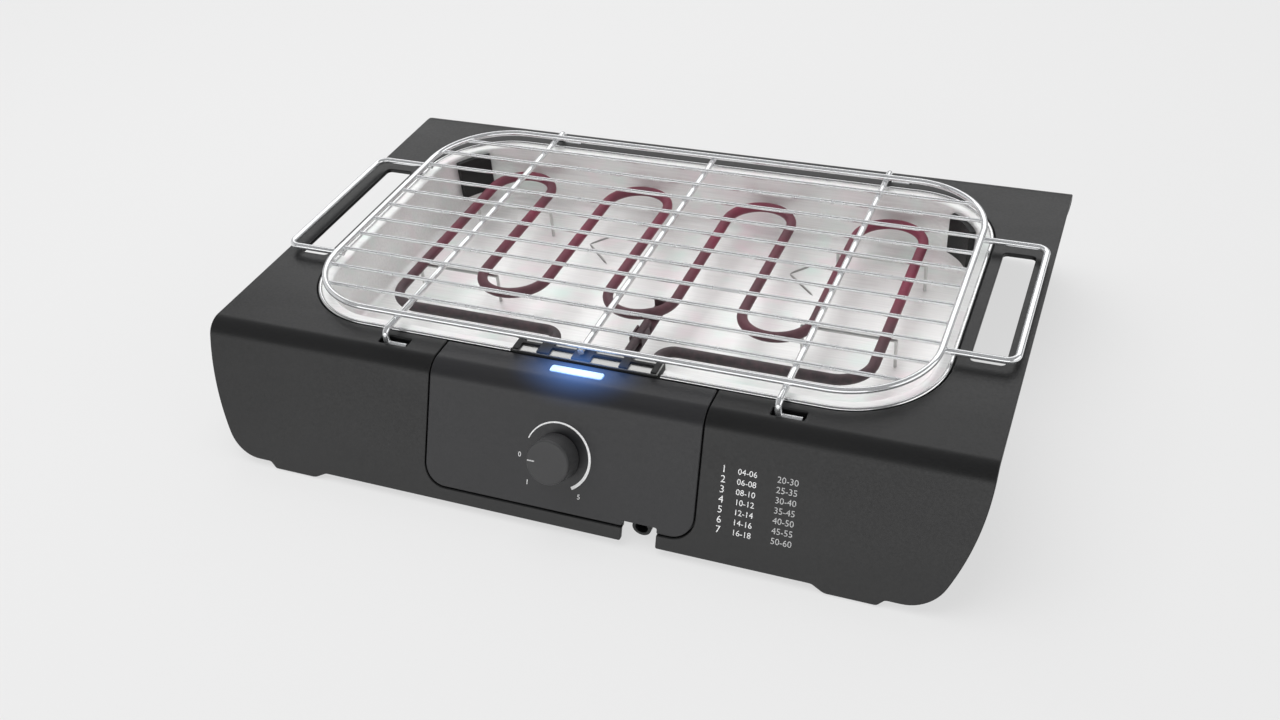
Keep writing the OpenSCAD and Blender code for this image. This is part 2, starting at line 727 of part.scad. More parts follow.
// Frame of heavy wire around the rack
module rack_frame() color("#dfe1e2") {
    cx = rack_hx - rack_r;
    cy = rack_hy - rack_r;
    translate([0, 0, frame_z]) {
        for (s = [-1, 1]) {
            rod([-cx, s * rack_hy, 0], [cx, s * rack_hy, 0], heavy_r);
            rod([s * rack_hx, -cy, 0], [s * rack_hx, cy, 0], heavy_r);
        }
        for (q = [[1, 1, 0], [-1, 1, 90], [-1, -1, 180], [1, -1, 270]])
            bend([q[0] * cx, q[1] * cy, 0], rack_r, heavy_r, q[2], 90);
    }
}

// Cross rods: the outer two are bent down into the housing's pockets
module rack_cross_rods() color("#dfe1e2") {
    for (x = [-cross_x, cross_x]) {
        rod([x, -hook_y, cross_z], [x, hook_y, cross_z], heavy_r);
        for (s = [-1, 1]) {
            translate([x, s * hook_y, cross_z]) sphere(r = heavy_r);
            rod([x, s * hook_y, hook_z], [x, s * hook_y, cross_z], heavy_r);
            translate([x, s * hook_y, hook_z]) sphere(r = heavy_r);
            rod([x, s * hook_y, hook_z], [x + hook_len, s * hook_y, hook_z], heavy_r);
        }
    }
    rod([0, -rack_hy, cross_z], [0, rack_hy, cross_z], heavy_r);
}

// Cooking bars, each ending in the frame, shorter where the corners turn
module rack_bars() color("#e6e8e9") {
    cx = rack_hx - rack_r;
    cy = rack_hy - rack_r;
    for (i = [-bars_each_side:bars_each_side]) {
        y = i * bar_pitch;
        past = max(0, abs(y) - cy);
        hx = cx + sqrt(rack_r * rack_r - past * past) - 1.3;
        rod([-hx, y, bar_z], [hx, y, bar_z], thin_r);
    }
}

// Handle loop at one end, welded under the frame
module handle_loop() {
    x0 = rack_hx - 2;
    straight = loop_hy - loop_r;
    translate([0, 0, cross_z]) {
        for (s = [-1, 1]) rod([x0, s * loop_hy, 0], [loop_x - loop_r, s * loop_hy, 0], heavy_r);
        bend([loop_x - loop_r, straight, 0], loop_r, heavy_r, 0, 90);
        bend([loop_x - loop_r, -straight, 0], loop_r, heavy_r, 270, 90);
        rod([loop_x, -straight, 0], [loop_x, straight, 0], heavy_r);
    }
}

module rack_handle_left() color("#dfe1e2") {
    mirror([1, 0, 0]) handle_loop();
}

module rack_handle_right() color("#dfe1e2") {
    handle_loop();
}

housing();
well_pan();
pan_screws();
rubber_feet();
reflector_tray();
tray_corner_posts();
control_panel();
control_back();
control_screws();
light_window();
light_board();
thermostat();
thermostat_nut();
terminal_block();
cord_gland();
heat_shield();
head_comb();
heating_element();
element_flanges();
terminal_pins();
element_stands();
sensor_bulb();
sensor_strap();
knob();
knob_shaft();
rack_frame();
rack_cross_rods();
rack_bars();
rack_handle_left();
rack_handle_right();
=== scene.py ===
"""Looks of a table-top electric barbecue grill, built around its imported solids.

Sizes are in millimetres unless a name says otherwise, and meshes are written in metres.
X runs along the grill, the control panel faces -Y and Z = 0 is the table.
"""
import logging
import math
from dataclasses import dataclass
from enum import Enum

import bpy
import numpy as np
from mathutils import Matrix, Vector
from mathutils.geometry import delaunay_2d_cdt


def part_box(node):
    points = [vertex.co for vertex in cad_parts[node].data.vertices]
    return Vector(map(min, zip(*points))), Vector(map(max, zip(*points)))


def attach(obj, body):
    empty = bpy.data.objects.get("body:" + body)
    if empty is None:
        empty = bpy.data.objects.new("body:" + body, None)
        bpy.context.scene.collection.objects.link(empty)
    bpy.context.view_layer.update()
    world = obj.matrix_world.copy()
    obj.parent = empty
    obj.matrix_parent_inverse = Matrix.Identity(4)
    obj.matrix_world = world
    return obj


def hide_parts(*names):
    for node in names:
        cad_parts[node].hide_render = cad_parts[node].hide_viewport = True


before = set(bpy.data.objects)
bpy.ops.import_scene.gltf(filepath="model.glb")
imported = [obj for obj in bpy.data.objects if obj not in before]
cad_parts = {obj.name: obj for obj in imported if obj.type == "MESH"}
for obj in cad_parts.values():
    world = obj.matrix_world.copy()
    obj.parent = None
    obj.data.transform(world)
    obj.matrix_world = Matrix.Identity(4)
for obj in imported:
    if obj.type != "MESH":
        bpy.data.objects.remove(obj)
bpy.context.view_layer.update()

LOG = logging.getLogger("grill")
MM = 0.001
Array = np.ndarray
MeshData = tuple[Array, list]
Pair = tuple[float, float]
Triple = tuple[float, float, float]
Colour = Triple


class Body(Enum):
    """The parts that lift off or turn on their own."""

    HOUSING = "housing"
    TRAY = "tray"
    CONTROL = "control_unit"
    KNOB = "knob"
    RACK = "rack"


def cad_box(node: str) -> tuple[Array, Array]:
    """Lowest and highest corners of a CAD node, in millimetres.

    Args:
        node: Name of the node.

    Returns:
        The two corners.
    """
    low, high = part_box(node)
    return np.array(low) / MM, np.array(high) / MM


# Outlines: plane curves as rows of (x, y)


def arc(cx: float, cy: float, r: float, a0: float, a1: float, count: int = 12) -> Array:
    """Circular arc: the centre plus r times (cos, sin) at evenly spaced angles in degrees.

    Args:
        cx, cy: Centre.
        r: Radius.
        a0, a1: First and last angle.
        count: Number of points.

    Returns:
        Points, one a row.
    """
    a = np.radians(np.linspace(a0, a1, count))
    return np.column_stack([cx + r * np.cos(a), cy + r * np.sin(a)])


def filleted(corners: list[Triple], count: int = 6) -> Array:
    """Closed polygon whose corners are replaced by arcs that touch both sides.

    The arc's centre lies on the bisector at r / sin(half angle), and its points turn evenly
    from one tangent point to the other.

    Args:
        corners: Rows of (x, y, radius).
        count: Points on each arc.

    Returns:
        Points of the closed loop.
    """
    pts = np.array(corners, float)
    out = []
    for i, (x, y, r) in enumerate(pts):
        p = np.array([x, y])
        if r <= 0:
            out.append(p[None])
            continue
        a = pts[i - 1, :2] - p
        b = pts[(i + 1) % len(pts), :2] - p
        a /= np.linalg.norm(a)
        b /= np.linalg.norm(b)
        half = math.acos(np.clip(a @ b, -1, 1)) / 2
        if half > math.radians(89):
            out.append(p[None])
            continue
        mid = (a + b) / np.linalg.norm(a + b)
        centre = p + mid * r / math.sin(half)
        v0 = (p + a * r / math.tan(half) - centre) / r
        v1 = (p + b * r / math.tan(half) - centre) / r
        sweep = math.acos(np.clip(v0 @ v1, -1, 1))
        t = np.linspace(0, 1, count)[:, None]
        out.append(centre + r * (np.sin((1 - t) * sweep) * v0 + np.sin(t * sweep) * v1) / math.sin(sweep))
    return np.vstack(out)


def rounded_box(hx: float, hy: float, r: float, count: int = 8, at: Pair = (0, 0)) -> Array:
    """Counter-clockwise rounded rectangle.

    Args:
        hx, hy: Half sizes.
        r: Corner radius.
        count: Points on each corner.
        at: Centre.

    Returns:
        Points of the closed loop.
    """
    x, y = at
    signs = ((1, -1), (1, 1), (-1, 1), (-1, -1))
    return filleted([(x + i * hx, y + j * hy, r) for i, j in signs], count)


def miters(loop: Array) -> Array:
    """Outward miter vectors of a loop whose material is on its left.

    At a corner between segments with right-hand normals n and m, the vector is (n + m) / (1 + n.m),
    so that a step along it keeps its distance from both segments.

    Args:
        loop: Closed loop.

    Returns:
        One vector a point.
    """
    d = np.roll(loop, -1, 0) - loop
    d /= np.linalg.norm(d, axis=1)[:, None]
    n = np.column_stack([d[:, 1], -d[:, 0]])
    prev = np.roll(n, 1, 0)
    return (n + prev) / np.maximum(1 + (n * prev).sum(1), 0.3)[:, None]


def split_at(levels: Array, *loops: Array) -> list[Array]:
    """Adds the points at which the first loop crosses lines of constant y.

    The other loops run beside the first, point by point, and get points at the same fractions.

    Args:
        levels: The lines' y values.
        loops: Closed loops of equal length.

    Returns:
        The loops with the points added.
    """
    lead = loops[0]
    nxt = np.roll(lead, -1, 0)
    spans = (lead[:, 1, None] - levels) * (nxt[:, 1, None] - levels) < -1e-9
    out: list[list[Array]] = [[] for _ in loops]
    for i in range(len(lead)):
        for k, loop in enumerate(loops):
            out[k].append(loop[i][None])
        hit = levels[spans[i]]
        if len(hit):
            t = np.sort((hit - lead[i, 1]) / (nxt[i, 1] - lead[i, 1]))[:, None]
            for k, loop in enumerate(loops):
                out[k].append(loop[i] * (1 - t) + loop[(i + 1) % len(loop)] * t)
    return [np.vstack(o) for o in out]


def inside(points: Array, loops: list[Array]) -> Array:
    """Even-odd test: whether a ray from each point crosses the loops an odd number of times.

    Args:
        points: Points to test.
        loops: Closed loops.

    Returns:
        One truth value a point.
    """
    odd = np.zeros(len(points), bool)
    for loop in loops:
        a, b = loop, np.roll(loop, -1, 0)
        y = points[:, 1, None]
        spans = (a[:, 1] > y) != (b[:, 1] > y)
        with np.errstate(divide="ignore", invalid="ignore"):
            x = a[:, 0] + (y - a[:, 1]) * (b[:, 0] - a[:, 0]) / (b[:, 1] - a[:, 1])
        odd ^= (spans & (points[:, 0, None] < x)).sum(1) % 2 == 1
    return odd


# Meshes


def make_mesh(name: str, verts: Array, faces: list, smooth: float = 35.0) -> bpy.types.Object:
    """Puts a mesh in the scene, with smooth shading up to an angle.

    Args:
        name: Object's name.
        verts: Points in millimetres.
        faces: Faces as index lists.
        smooth: Largest angle in degrees that is shaded smooth.

    Returns:
        The object.
    """
    mesh = bpy.data.meshes.new(name)
    mesh.from_pydata((np.asarray(verts, float) * MM).tolist(), [], [list(map(int, f)) for f in faces])
    mesh.validate()
    mesh.update()
    mesh.shade_smooth()
    mesh.set_sharp_from_angle(angle=math.radians(smooth))
    obj = bpy.data.objects.new(name, mesh)
    bpy.context.scene.collection.objects.link(obj)
    return obj


def grid_faces(rows: int, cols: int, wrap_rows: bool = False, wrap_cols: bool = False,
               keep: Array | None = None, flip: bool = False) -> Array:
    """Quads of a grid of points numbered row by row.

    Args:
        rows, cols: Size of the grid.
        wrap_rows, wrap_cols: Whether the last row or column joins the first.
        keep: Truth value for each quad, as (rows, cols) of quads.
        flip: Whether the faces turn the other way.

    Returns:
        Faces as rows of four indices.
    """
    r = np.arange(rows if wrap_rows else rows - 1)[:, None]
    c = np.arange(cols if wrap_cols else cols - 1)[None]
    r1, c1 = (r + 1) % rows, (c + 1) % cols
    quads = np.stack([r * cols + c, r1 * cols + c, r1 * cols + c1, r * cols + c1], -1)
    if keep is not None:
        quads = quads[keep]
    quads = quads.reshape(-1, 4)
    return quads[:, ::-1] if flip else quads


def end_caps(rings: int, sides: int) -> list[list[int]]:
    """Flat faces that close the first and the last of several rings of points."""
    last = (rings - 1) * sides
    return [list(range(sides))[::-1], list(range(last, last + sides))]


def weigh(obj: bpy.types.Object) -> bpy.types.Object:
    """Adds the modifier that keeps broad faces flat between narrow rounded ones."""
    mod = obj.modifiers.new("flat_faces", "WEIGHTED_NORMAL")
    mod.keep_sharp = True
    mod.weight = 100
    return obj


def thicken(obj: bpy.types.Object, thick: float) -> bpy.types.Object:
    """Gives an open surface its thickness, on the side away from its normals.

    Args:
        obj: The piece.
        thick: Thickness in millimetres.

    Returns:
        The piece.
    """
    mod = obj.modifiers.new("sheet", "SOLIDIFY")
    mod.thickness = thick * MM
    mod.offset = -1.0
    return weigh(obj)


def tube(path: Array, radius: float | Array, sides: int = 16, closed: bool = False,
         up: Triple = (0, 0, 1)) -> MeshData:
    """Round tube along a path: each ring is p + r (cos a * u + sin a * w).

    The vectors u and w are carried along the path, each step dropping the part along the tangent.

    Args:
        path: Points of the centre line.
        radius: One radius, or one for each point.
        sides: Points on each ring.
        closed: Whether the path joins itself.
        up: First guess of u.

    Returns:
        Points and faces.
    """
    path = np.asarray(path, float)
    if closed:
        tan = np.roll(path, -1, 0) - np.roll(path, 1, 0)
    else:
        tan = np.gradient(path, axis=0)
    tan /= np.linalg.norm(tan, axis=1)[:, None]
    u = np.empty_like(path)
    last = np.array(up, float)
    for i, t in enumerate(tan):
        last = last - t * (last @ t)
        last /= np.linalg.norm(last)
        u[i] = last
    w = np.cross(tan, u)
    a = np.linspace(0, 2 * np.pi, sides, endpoint=False)[:, None]
    r = np.broadcast_to(np.asarray(radius, float), len(path))[:, None, None]
    ring = path[:, None] + r * (np.cos(a) * u[:, None] + np.sin(a) * w[:, None])
    faces = grid_faces(len(path), sides, closed, True, flip=True).tolist()
    if not closed:
        faces += end_caps(len(path), sides)
    return ring.reshape(-1, 3), faces


def joined(parts: list[MeshData]) -> MeshData:
    """Joins several point and face lists into one.

    Args:
        parts: Pairs of points and faces.

    Returns:
        One pair.
    """
    verts, faces, start = [], [], 0
    for v, f in parts:
        verts.append(v)
        faces += [[i + start for i in face] for face in f]
        start += len(v)
    return np.vstack(verts), faces


def blob(at: Array, radii: Triple) -> MeshData:
    """Small ellipsoid for a weld: points at (cos b cos a, cos b sin a, sin b) times the radii.

    Args:
        at: Centre.
        radii: Half sizes.

    Returns:
        Points and faces.
    """
    a = np.linspace(0, 2 * np.pi, 8, endpoint=False)
    b = np.radians([-60, -20, 20, 60])[:, None]
    ring = np.stack([np.cos(b) * np.cos(a), np.cos(b) * np.sin(a), np.sin(b) + 0 * a], -1).reshape(-1, 3)
    faces = grid_faces(4, 8, False, True, flip=True).tolist()
    return ring * radii + at, faces + end_caps(4, 8)


def turned(profile: Array, sides: int = 64) -> MeshData:
    """Body of revolution about Z: each (r, z) goes to (r cos a, r sin a, z), and both ends are flat.

    Args:
        profile: Rows of (r, z), from the axis or rim upwards with the material on the left.
        sides: Points around.

    Returns:
        Points and faces.
    """
    a = np.linspace(0, 2 * np.pi, sides, endpoint=False)
    r, z = profile[:, 0, None], profile[:, 1, None]
    ring = np.stack([r * np.cos(a), r * np.sin(a), z + 0 * a], -1).reshape(-1, 3)
    faces = grid_faces(len(profile), sides, False, True, flip=True).tolist()
    return ring, faces + end_caps(len(profile), sides)


def brick(low: Triple, high: Triple) -> MeshData:
    """Box between two corners.

    Args:
        low, high: The corners.

    Returns:
        Points and faces.
    """
    x, y, z = (np.array([low[i], high[i]]) for i in range(3))
    g = np.stack(np.meshgrid(x, y, z, indexing="ij"), -1).reshape(-1, 3)
    faces = [[0, 1, 3, 2], [4, 6, 7, 5], [0, 4, 5, 1], [2, 3, 7, 6], [0, 2, 6, 4], [1, 5, 7, 3]]
    return g, faces


def bevel(obj: bpy.types.Object, width: float, segments: int = 2) -> bpy.types.Object:
    """Rounds the sharp edges of a piece.

    Args:
        obj: The piece.
        width: Width of the rounding in millimetres.
        segments: Steps across it.

    Returns:
        The piece.
    """
    mod = obj.modifiers.new("rounded", "BEVEL")
    mod.width = width * MM
    mod.segments = segments
    mod.limit_method = "ANGLE"
    mod.angle_limit = math.radians(40)
    return weigh(obj)


def ready(obj: bpy.types.Object, body: Body, material: bpy.types.Material,
          replaces: tuple[str, ...] = ()) -> bpy.types.Object:
    """Dresses a piece, ties it to its body and reports it.

    Args:
        obj: The piece.
        body: What it moves with.
        material: Its finish.
        replaces: CAD nodes that it stands for.

    Returns:
        The piece.
    """
    obj.data.materials.clear()
    obj.data.materials.append(material)
    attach(obj, body.value)
    if replaces:
        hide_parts(*replaces)
    LOG.info("%s: %d faces on %s", obj.name, len(obj.data.polygons), body.value)
    return obj


# The bent sheet that the housing and the panel are cut from


@dataclass
class BentSheet:
    """Unrolled skin of the grill: u is X, and v runs from the middle over a shoulder and down the face."""

    top_z: float
    half_top: float = 151.5
    tilt: float = 23.9
    shoulder_r: float = 14.0
    settle: float = 8.0

    @property
    def turn(self) -> float:
        """Bend of the shoulder in radians."""
        return math.radians(90 - self.tilt)

    @property
    def run(self) -> float:
        """Distance from the shoulder's start to the edge that sharp planes would have."""
        return self.shoulder_r * math.tan(self.turn / 2)

    @property
    def v_flat(self) -> float:
        """Where the flat top ends."""
        return self.half_top - self.run

    @property
    def v_face(self) -> float:
        """Where the sloping face starts."""
        return self.v_flat + self.shoulder_r * self.turn

    def v_at(self, s: float | Array) -> float | Array:
        """v of a point that lies s down the slope, past the shoulder."""
        return self.v_face + s - self.run

    def v_of_drop(self, drop: Array) -> Array:
        """v of a point that lies lower than the top plane by drop.

        On the shoulder drop is r (1 - cos phi), and below it the sheet falls by sin(turn) a millimetre.

        Args:
            drop: Distances below the top plane.

        Returns:
            v, counted as positive.
        """
        bend = self.shoulder_r * (1 - math.cos(self.turn))
        phi = np.arccos(np.clip(1 - drop / self.shoulder_r, -1, 1))
        on_bend = self.v_flat + self.shoulder_r * phi
        below = self.v_face + (drop - bend) / math.sin(self.turn)
        return np.where(drop < bend, on_bend, below)

    def bend_lines(self, steps: int = 14) -> Array:
        """Lines of constant v across both shoulders, where the skin needs points."""
        line = np.linspace(self.v_flat, self.v_face, steps)
        return np.concatenate([-line, line])

    def place(self, uv: Array, depth: float | Array = 0.0) -> Array:
        """Points in space: along the flat, round the shoulder by phi, then straight down the face.

        Points under the face slide up it by depth * tan(tilt), so that cuts through it run level. The
        slide grows from nothing over the first settle millimetres of the face.

        Args:
            uv: Points of the unrolled skin.
            depth: How far under the outer surface.

        Returns:
            Points in millimetres.
        """
        u, v = uv[:, 0], np.abs(uv[:, 1])
        side = np.sign(uv[:, 1])
        slope = math.tan(math.radians(self.tilt))
        v = v - depth * slope * np.clip((v - self.v_face) / self.settle, 0, 1)
        phi = np.clip((v - self.v_flat) / self.shoulder_r, 0, self.turn)
        past = np.maximum(v - self.v_face, 0)
        r = self.shoulder_r
        y = np.minimum(v, self.v_flat) + r * np.sin(phi) + past * math.cos(self.turn) - depth * np.sin(phi)
        z = self.top_z - r * (1 - np.cos(phi)) - past * math.sin(self.turn) - depth * np.cos(phi)
        return np.column_stack([u, side * y, z])


@dataclass
class Deeper:
    """The same bent sheet, starting further under its surface."""

    sheet: BentSheet
    under: float

    def bend_lines(self) -> Array:
        """The bent sheet's own lines."""
        return self.sheet.bend_lines()

    def place(self, uv: Array, depth: float | Array = 0.0) -> Array:
        """Points in space, at depth below the start."""
        return self.sheet.place(uv, depth + self.under)


@dataclass
class Plane:
    """Flat sheet at a height, for the same cutting as the bent one."""

    top_z: float

    def bend_lines(self) -> Array:
        """A flat sheet has none."""
        return np.zeros(0)

    def place(self, uv: Array, depth: float | Array = 0.0) -> Array:
        """Points in space at top_z less depth."""
        return np.column_stack([uv, np.full(len(uv), 1.0) * (self.top_z - depth)])


def cut_sheet(sheet: BentSheet | Deeper | Plane, loops: list[Array], thick: float, edge_r: float,
              steps: int = 4) -> MeshData:
    """Closed solid of a sheet with rounded edges.

    The outlines are drawn in by edge_r and filled with triangles that follow the bend lines. Each
    edge then goes round a quarter circle, where at angle a it lies r sin a out and r (1 - cos a)
    deep, runs straight through the sheet, and turns in again.

    Args:
        sheet: Places the points.
        loops: Outlines with their material on the left: the outer one first, then the holes.
        thick: Thickness.
        edge_r: Rounding of the edges.
        steps: Points on each quarter circle.

    Returns:
        Points and faces.
    """
    levels = sheet.bend_lines()
    lead, push = [], []
    for loop in loops:
        out = miters(loop)
        a, b = split_at(levels, loop - edge_r * out, out)
        lead.append(a)
        push.append(b)
    flat = np.vstack(lead)
    starts = np.cumsum([0] + [len(a) for a in lead])
    edges = []
    for k, a in enumerate(lead):
        i = np.arange(len(a))
        edges += np.column_stack([starts[k] + i, starts[k] + (i + 1) % len(a)]).tolist()
    reach = np.abs(flat[:, 0]).max() + 5
    lines = [(x, v) for v in levels for x in (-reach, reach)]
    edges += [[len(flat) + 2 * i, len(flat) + 2 * i + 1] for i in range(len(levels))]
    points = [Vector(map(float, p)) for p in [*flat, *lines]]
    found, _, tris, origin, _, _ = delaunay_2d_cdt(points, edges, [], 0, 1e-3)
    uv = np.array([tuple(p) for p in found])
    where = np.zeros(len(points), int)
    for k, olds in enumerate(origin):
        where[olds] = k
    tris = np.array([list(t) for t in tris])
    tris = tris[inside(uv[tris].mean(1), lead)]
    verts = [sheet.place(uv, 0.0), sheet.place(uv, thick)]
    n = len(uv)
    faces = tris.tolist() + (tris[:, ::-1] + n).tolist()
    total = 2 * n
    q = np.linspace(0, math.pi / 2, steps + 1)[1:]
    out_by = np.concatenate([np.sin(q), np.sin(q)[::-1]]) * edge_r
    deep = np.concatenate([edge_r * (1 - np.cos(q)), thick - edge_r * (1 - np.cos(q))[::-1]])
    for k, a in enumerate(lead):
        m = len(a)
        top = where[starts[k]:starts[k] + m]
        rows = [top]
        for d, z in zip(out_by, deep):
            verts.append(sheet.place(a + d * push[k], z))
            rows.append(total + np.arange(m))
            total += m
        rows.append(top + n)
        for r0, r1 in zip(rows, rows[1:]):
            faces += np.column_stack([r0, r1, np.roll(r1, -1), np.roll(r0, -1)]).tolist()
    verts_all = np.vstack(verts)
    used = np.unique(np.concatenate([np.asarray(f).ravel() for f in faces]))
    remap = np.full(len(verts_all), -1)
    remap[used] = np.arange(len(used))
    return verts_all[used], [remap[f].tolist() for f in faces]


def carried(base: Array, way: Array, profile: Array) -> Array:
    """Points of a profile carried along base points, each at its distance along the direction there.

    Args:
        base: Base points in the plane.
        way: Unit direction at each base point.
        profile: Rows of (distance, z).

    Returns:
        Points as (around, across, 3).
    """
    xy = base[:, None] + profile[None, :, :1] * way[:, None]
    z = np.broadcast_to(profile[None, :, 1:], (*xy.shape[:2], 1))
    return np.concatenate([xy, z], -1)


@dataclass
class WellPath:
    """Rounded rectangle that the well, its pan and the tray share, as base points and directions."""

    cx: float
    cy: float
    corner_points: int = 18
    stops: tuple[float, ...] = ()

    def rings(self) -> tuple[Array, Array]:
        """Base points and outward directions, counter-clockwise from the right end of the front side.

        A ring at distance d is base + d * direction, which rounds the corners by d.

        Returns:
            Base points and unit directions.
        """
        base, way = [], []
        for x, y, a in ((1, -1, -90), (1, 1, 0), (-1, 1, 90), (-1, -1, 180)):
            t = np.radians(np.linspace(a, a + 90, self.corner_points))
            base.append(np.tile([x * self.cx, y * self.cy], (len(t), 1)))
            way.append(np.column_stack([np.cos(t), np.sin(t)]))
        xs = np.sort(np.array(self.stops))
        base.append(np.column_stack([xs, np.full(len(xs), -self.cy)]))
        way.append(np.tile([0.0, -1.0], (len(xs), 1)))
        return np.vstack(base), np.vstack(way)

    def surface(self, profile: Array) -> Array:
        """Points of a profile of (distance, z) carried round the path, as (around, across, 3)."""
        return carried(*self.rings(), profile)


# Materials


class Nodes:
    """Short calls that build one node material."""

    def __init__(self, name: str) -> None:
        """Starts a material with an empty node tree.

        Args:
            name: The material's name.
        """
        self.material = bpy.data.materials.new(name)
        self.material.use_nodes = True
        self.tree = self.material.node_tree
        self.tree.nodes.clear()
        self.out = self.tree.nodes.new("ShaderNodeOutputMaterial")
        self.coords = self.tree.nodes.new("ShaderNodeTexCoord").outputs["Object"]

    def put(self, socket: bpy.types.NodeSocket, value: object) -> None:
        """Links or sets an input.

        Args:
            socket: The input.
            value: An output socket, or a constant.
        """
        if isinstance(value, bpy.types.NodeSocket):
            self.tree.links.new(value, socket)
        elif isinstance(value, tuple) and len(value) == 3 and socket.type == "RGBA":
            socket.default_value = (*value, 1.0)
        else:
            socket.default_value = value

    def node(self, kind: str, inputs: dict | None = None, **settings: object) -> bpy.types.Node:
        """Adds a node.

        Args:
            kind: The node's type, without its ShaderNode prefix.
            inputs: Values or links for its inputs.
            settings: The node's own settings.

        Returns:
            The node.
        """
        n = self.tree.nodes.new("ShaderNode" + kind)
        for key, value in settings.items():
            setattr(n, key, value)
        for key, value in (inputs or {}).items():
            self.put(n.inputs[key], value)
        return n

    def math(self, operation: str, a: object, b: object) -> bpy.types.NodeSocket:
        """Result of one arithmetic step."""
        return self.node("Math", {0: a, 1: b}, operation=operation).outputs[0]

    def length(self, vector: object) -> bpy.types.NodeSocket:
        """Length of a vector."""
        return self.node("VectorMath", {0: vector}, operation="LENGTH").outputs["Value"]

    def stretch(self, scale: Triple,
                origin: Triple = (0, 0, 0)) -> bpy.types.NodeSocket:
        """Object coordinates moved by -origin (metres) and scaled along each axis."""
        moved = self.node("VectorMath", {0: self.coords, 1: origin}, operation="SUBTRACT").outputs[0]
        return self.node("VectorMath", {0: moved, 1: scale}, operation="MULTIPLY").outputs[0]

    def noise(self, scale: float, detail: float = 2.0, vector: object = None, rough: float = 0.5,
              warp: float = 0.0) -> bpy.types.NodeSocket:
        """Noise value at a scale in cells a metre."""
        inputs = {"Vector": self.coords if vector is None else vector, "Scale": scale, "Detail": detail,
                  "Roughness": rough, "Distortion": warp}
        return self.node("TexNoise", inputs).outputs["Fac"]

    def span(self, value: object, low: float, high: float, to_low: float = 0.0,
             to_high: float = 1.0) -> bpy.types.NodeSocket:
        """Value carried from one range to another and kept inside it."""
        n = self.node("MapRange", {"Value": value, "From Min": low, "From Max": high, "To Min": to_low,
                                   "To Max": to_high}, clamp=True)
        return n.outputs["Result"]

    def blend(self, factor: object, a: object, b: object) -> bpy.types.NodeSocket:
        """Colour between a and b."""
        n = self.node("Mix", data_type="RGBA")
        self.put(n.inputs["Factor"], factor)
        self.put(n.inputs[6], a)
        self.put(n.inputs[7], b)
        return n.outputs[2]

    def bump(self, height: object, distance: float, strength: float = 1.0,
             normal: object = None) -> bpy.types.NodeSocket:
        """Normal that follows a height in metres times distance."""
        inputs = {"Height": height, "Distance": distance, "Strength": strength}
        if normal is not None:
            inputs["Normal"] = normal
        return self.node("Bump", inputs).outputs["Normal"]

    def round_edges(self, radius: float = 0.4) -> bpy.types.NodeSocket:
        """Normal that rounds the edges of a CAD node by a radius in millimetres."""
        return self.node("Bevel", {"Radius": radius * MM}, samples=4).outputs["Normal"]

    def surface(self, **inputs: object) -> bpy.types.Material:
        """Ends the material with a Principled surface.

        Args:
            inputs: Its inputs, with underscores for spaces.

        Returns:
            The material.
        """
        shader = self.node("BsdfPrincipled", {k.replace("_", " "): v for k, v in inputs.items()})
        self.tree.links.new(shader.outputs[0], self.out.inputs["Surface"])
        return self.material


@dataclass(frozen=True)
class MouldedPlastic:
    """Moulded plastic with a fine spark-eroded grain, faint flow marks and polished high spots."""

    name: str
    colour: Colour
    roughness: float = 0.38
    grain: float = 0.02
    light: Triple | None = None
    on_cad: bool = False

    def material(self) -> bpy.types.Material:
        """Two sizes of grain, a slow change of tone, and the spill of the light bar where it has one.

        Returns:
            The material.
        """
        n = Nodes(self.name)
        fine = n.noise(1900.0, 3.0, rough=0.6)
        pits = n.noise(620.0, 2.0)
        flow = n.noise(9.0, 3.0, n.stretch((1, 3, 3)), warp=0.4)
        height = n.math("ADD", n.math("MULTIPLY", fine, 0.6), n.math("MULTIPLY", pits, 0.4))
        dark = tuple(c * 0.86 for c in self.colour)
        lit = tuple(min(1.0, c * 1.14) for c in self.colour)
        colour = n.blend(n.span(flow, 0.3, 0.7), dark, lit)
        rough = n.math("ADD", n.span(pits, 0.3, 0.7, self.roughness - 0.05, self.roughness + 0.05),
                       n.span(flow, 0.3, 0.7, -0.03, 0.03))
        start = n.round_edges() if self.on_cad else None
        inputs = {"Base_Color": colour, "Roughness": rough,
                  "Normal": n.bump(height, self.grain * MM, 0.8, start)}
        if self.light:
            reach = n.stretch((0.55, 1, 1), tuple(c * MM for c in self.light))
            near = n.span(n.length(reach), 0.003, 0.027, 1.0, 0.0)
            inputs["Emission_Color"] = (0.09, 0.27, 0.8)
            inputs["Emission_Strength"] = n.math("MULTIPLY", n.math("POWER", near, 2.4), 0.7)
        return n.surface(**inputs)


@dataclass(frozen=True)
class PolishedWire:
    """Chrome-plated wire: bright, with drawing marks along it, faint blueing and spots of use."""

    name: str
    colour: Colour = (0.88, 0.89, 0.9)
    roughness: float = 0.12
    metallic: float = 0.8

    def material(self) -> bpy.types.Material:
        """Metal whose roughness varies in patches.

        Returns:
            The material.
        """
        n = Nodes(self.name)
        patch = n.noise(60.0, 3.0)
        drawn = n.noise(900.0, 2.0)
        warm = n.blend(n.span(patch, 0.35, 0.75), self.colour, tuple(c * 0.9 for c in self.colour))
        rough = n.span(patch, 0.3, 0.7, self.roughness * 0.7, self.roughness * 1.6)
        return n.surface(Base_Color=warm, Metallic=self.metallic, Roughness=rough,
                         Normal=n.bump(drawn, 0.004 * MM, 0.6))


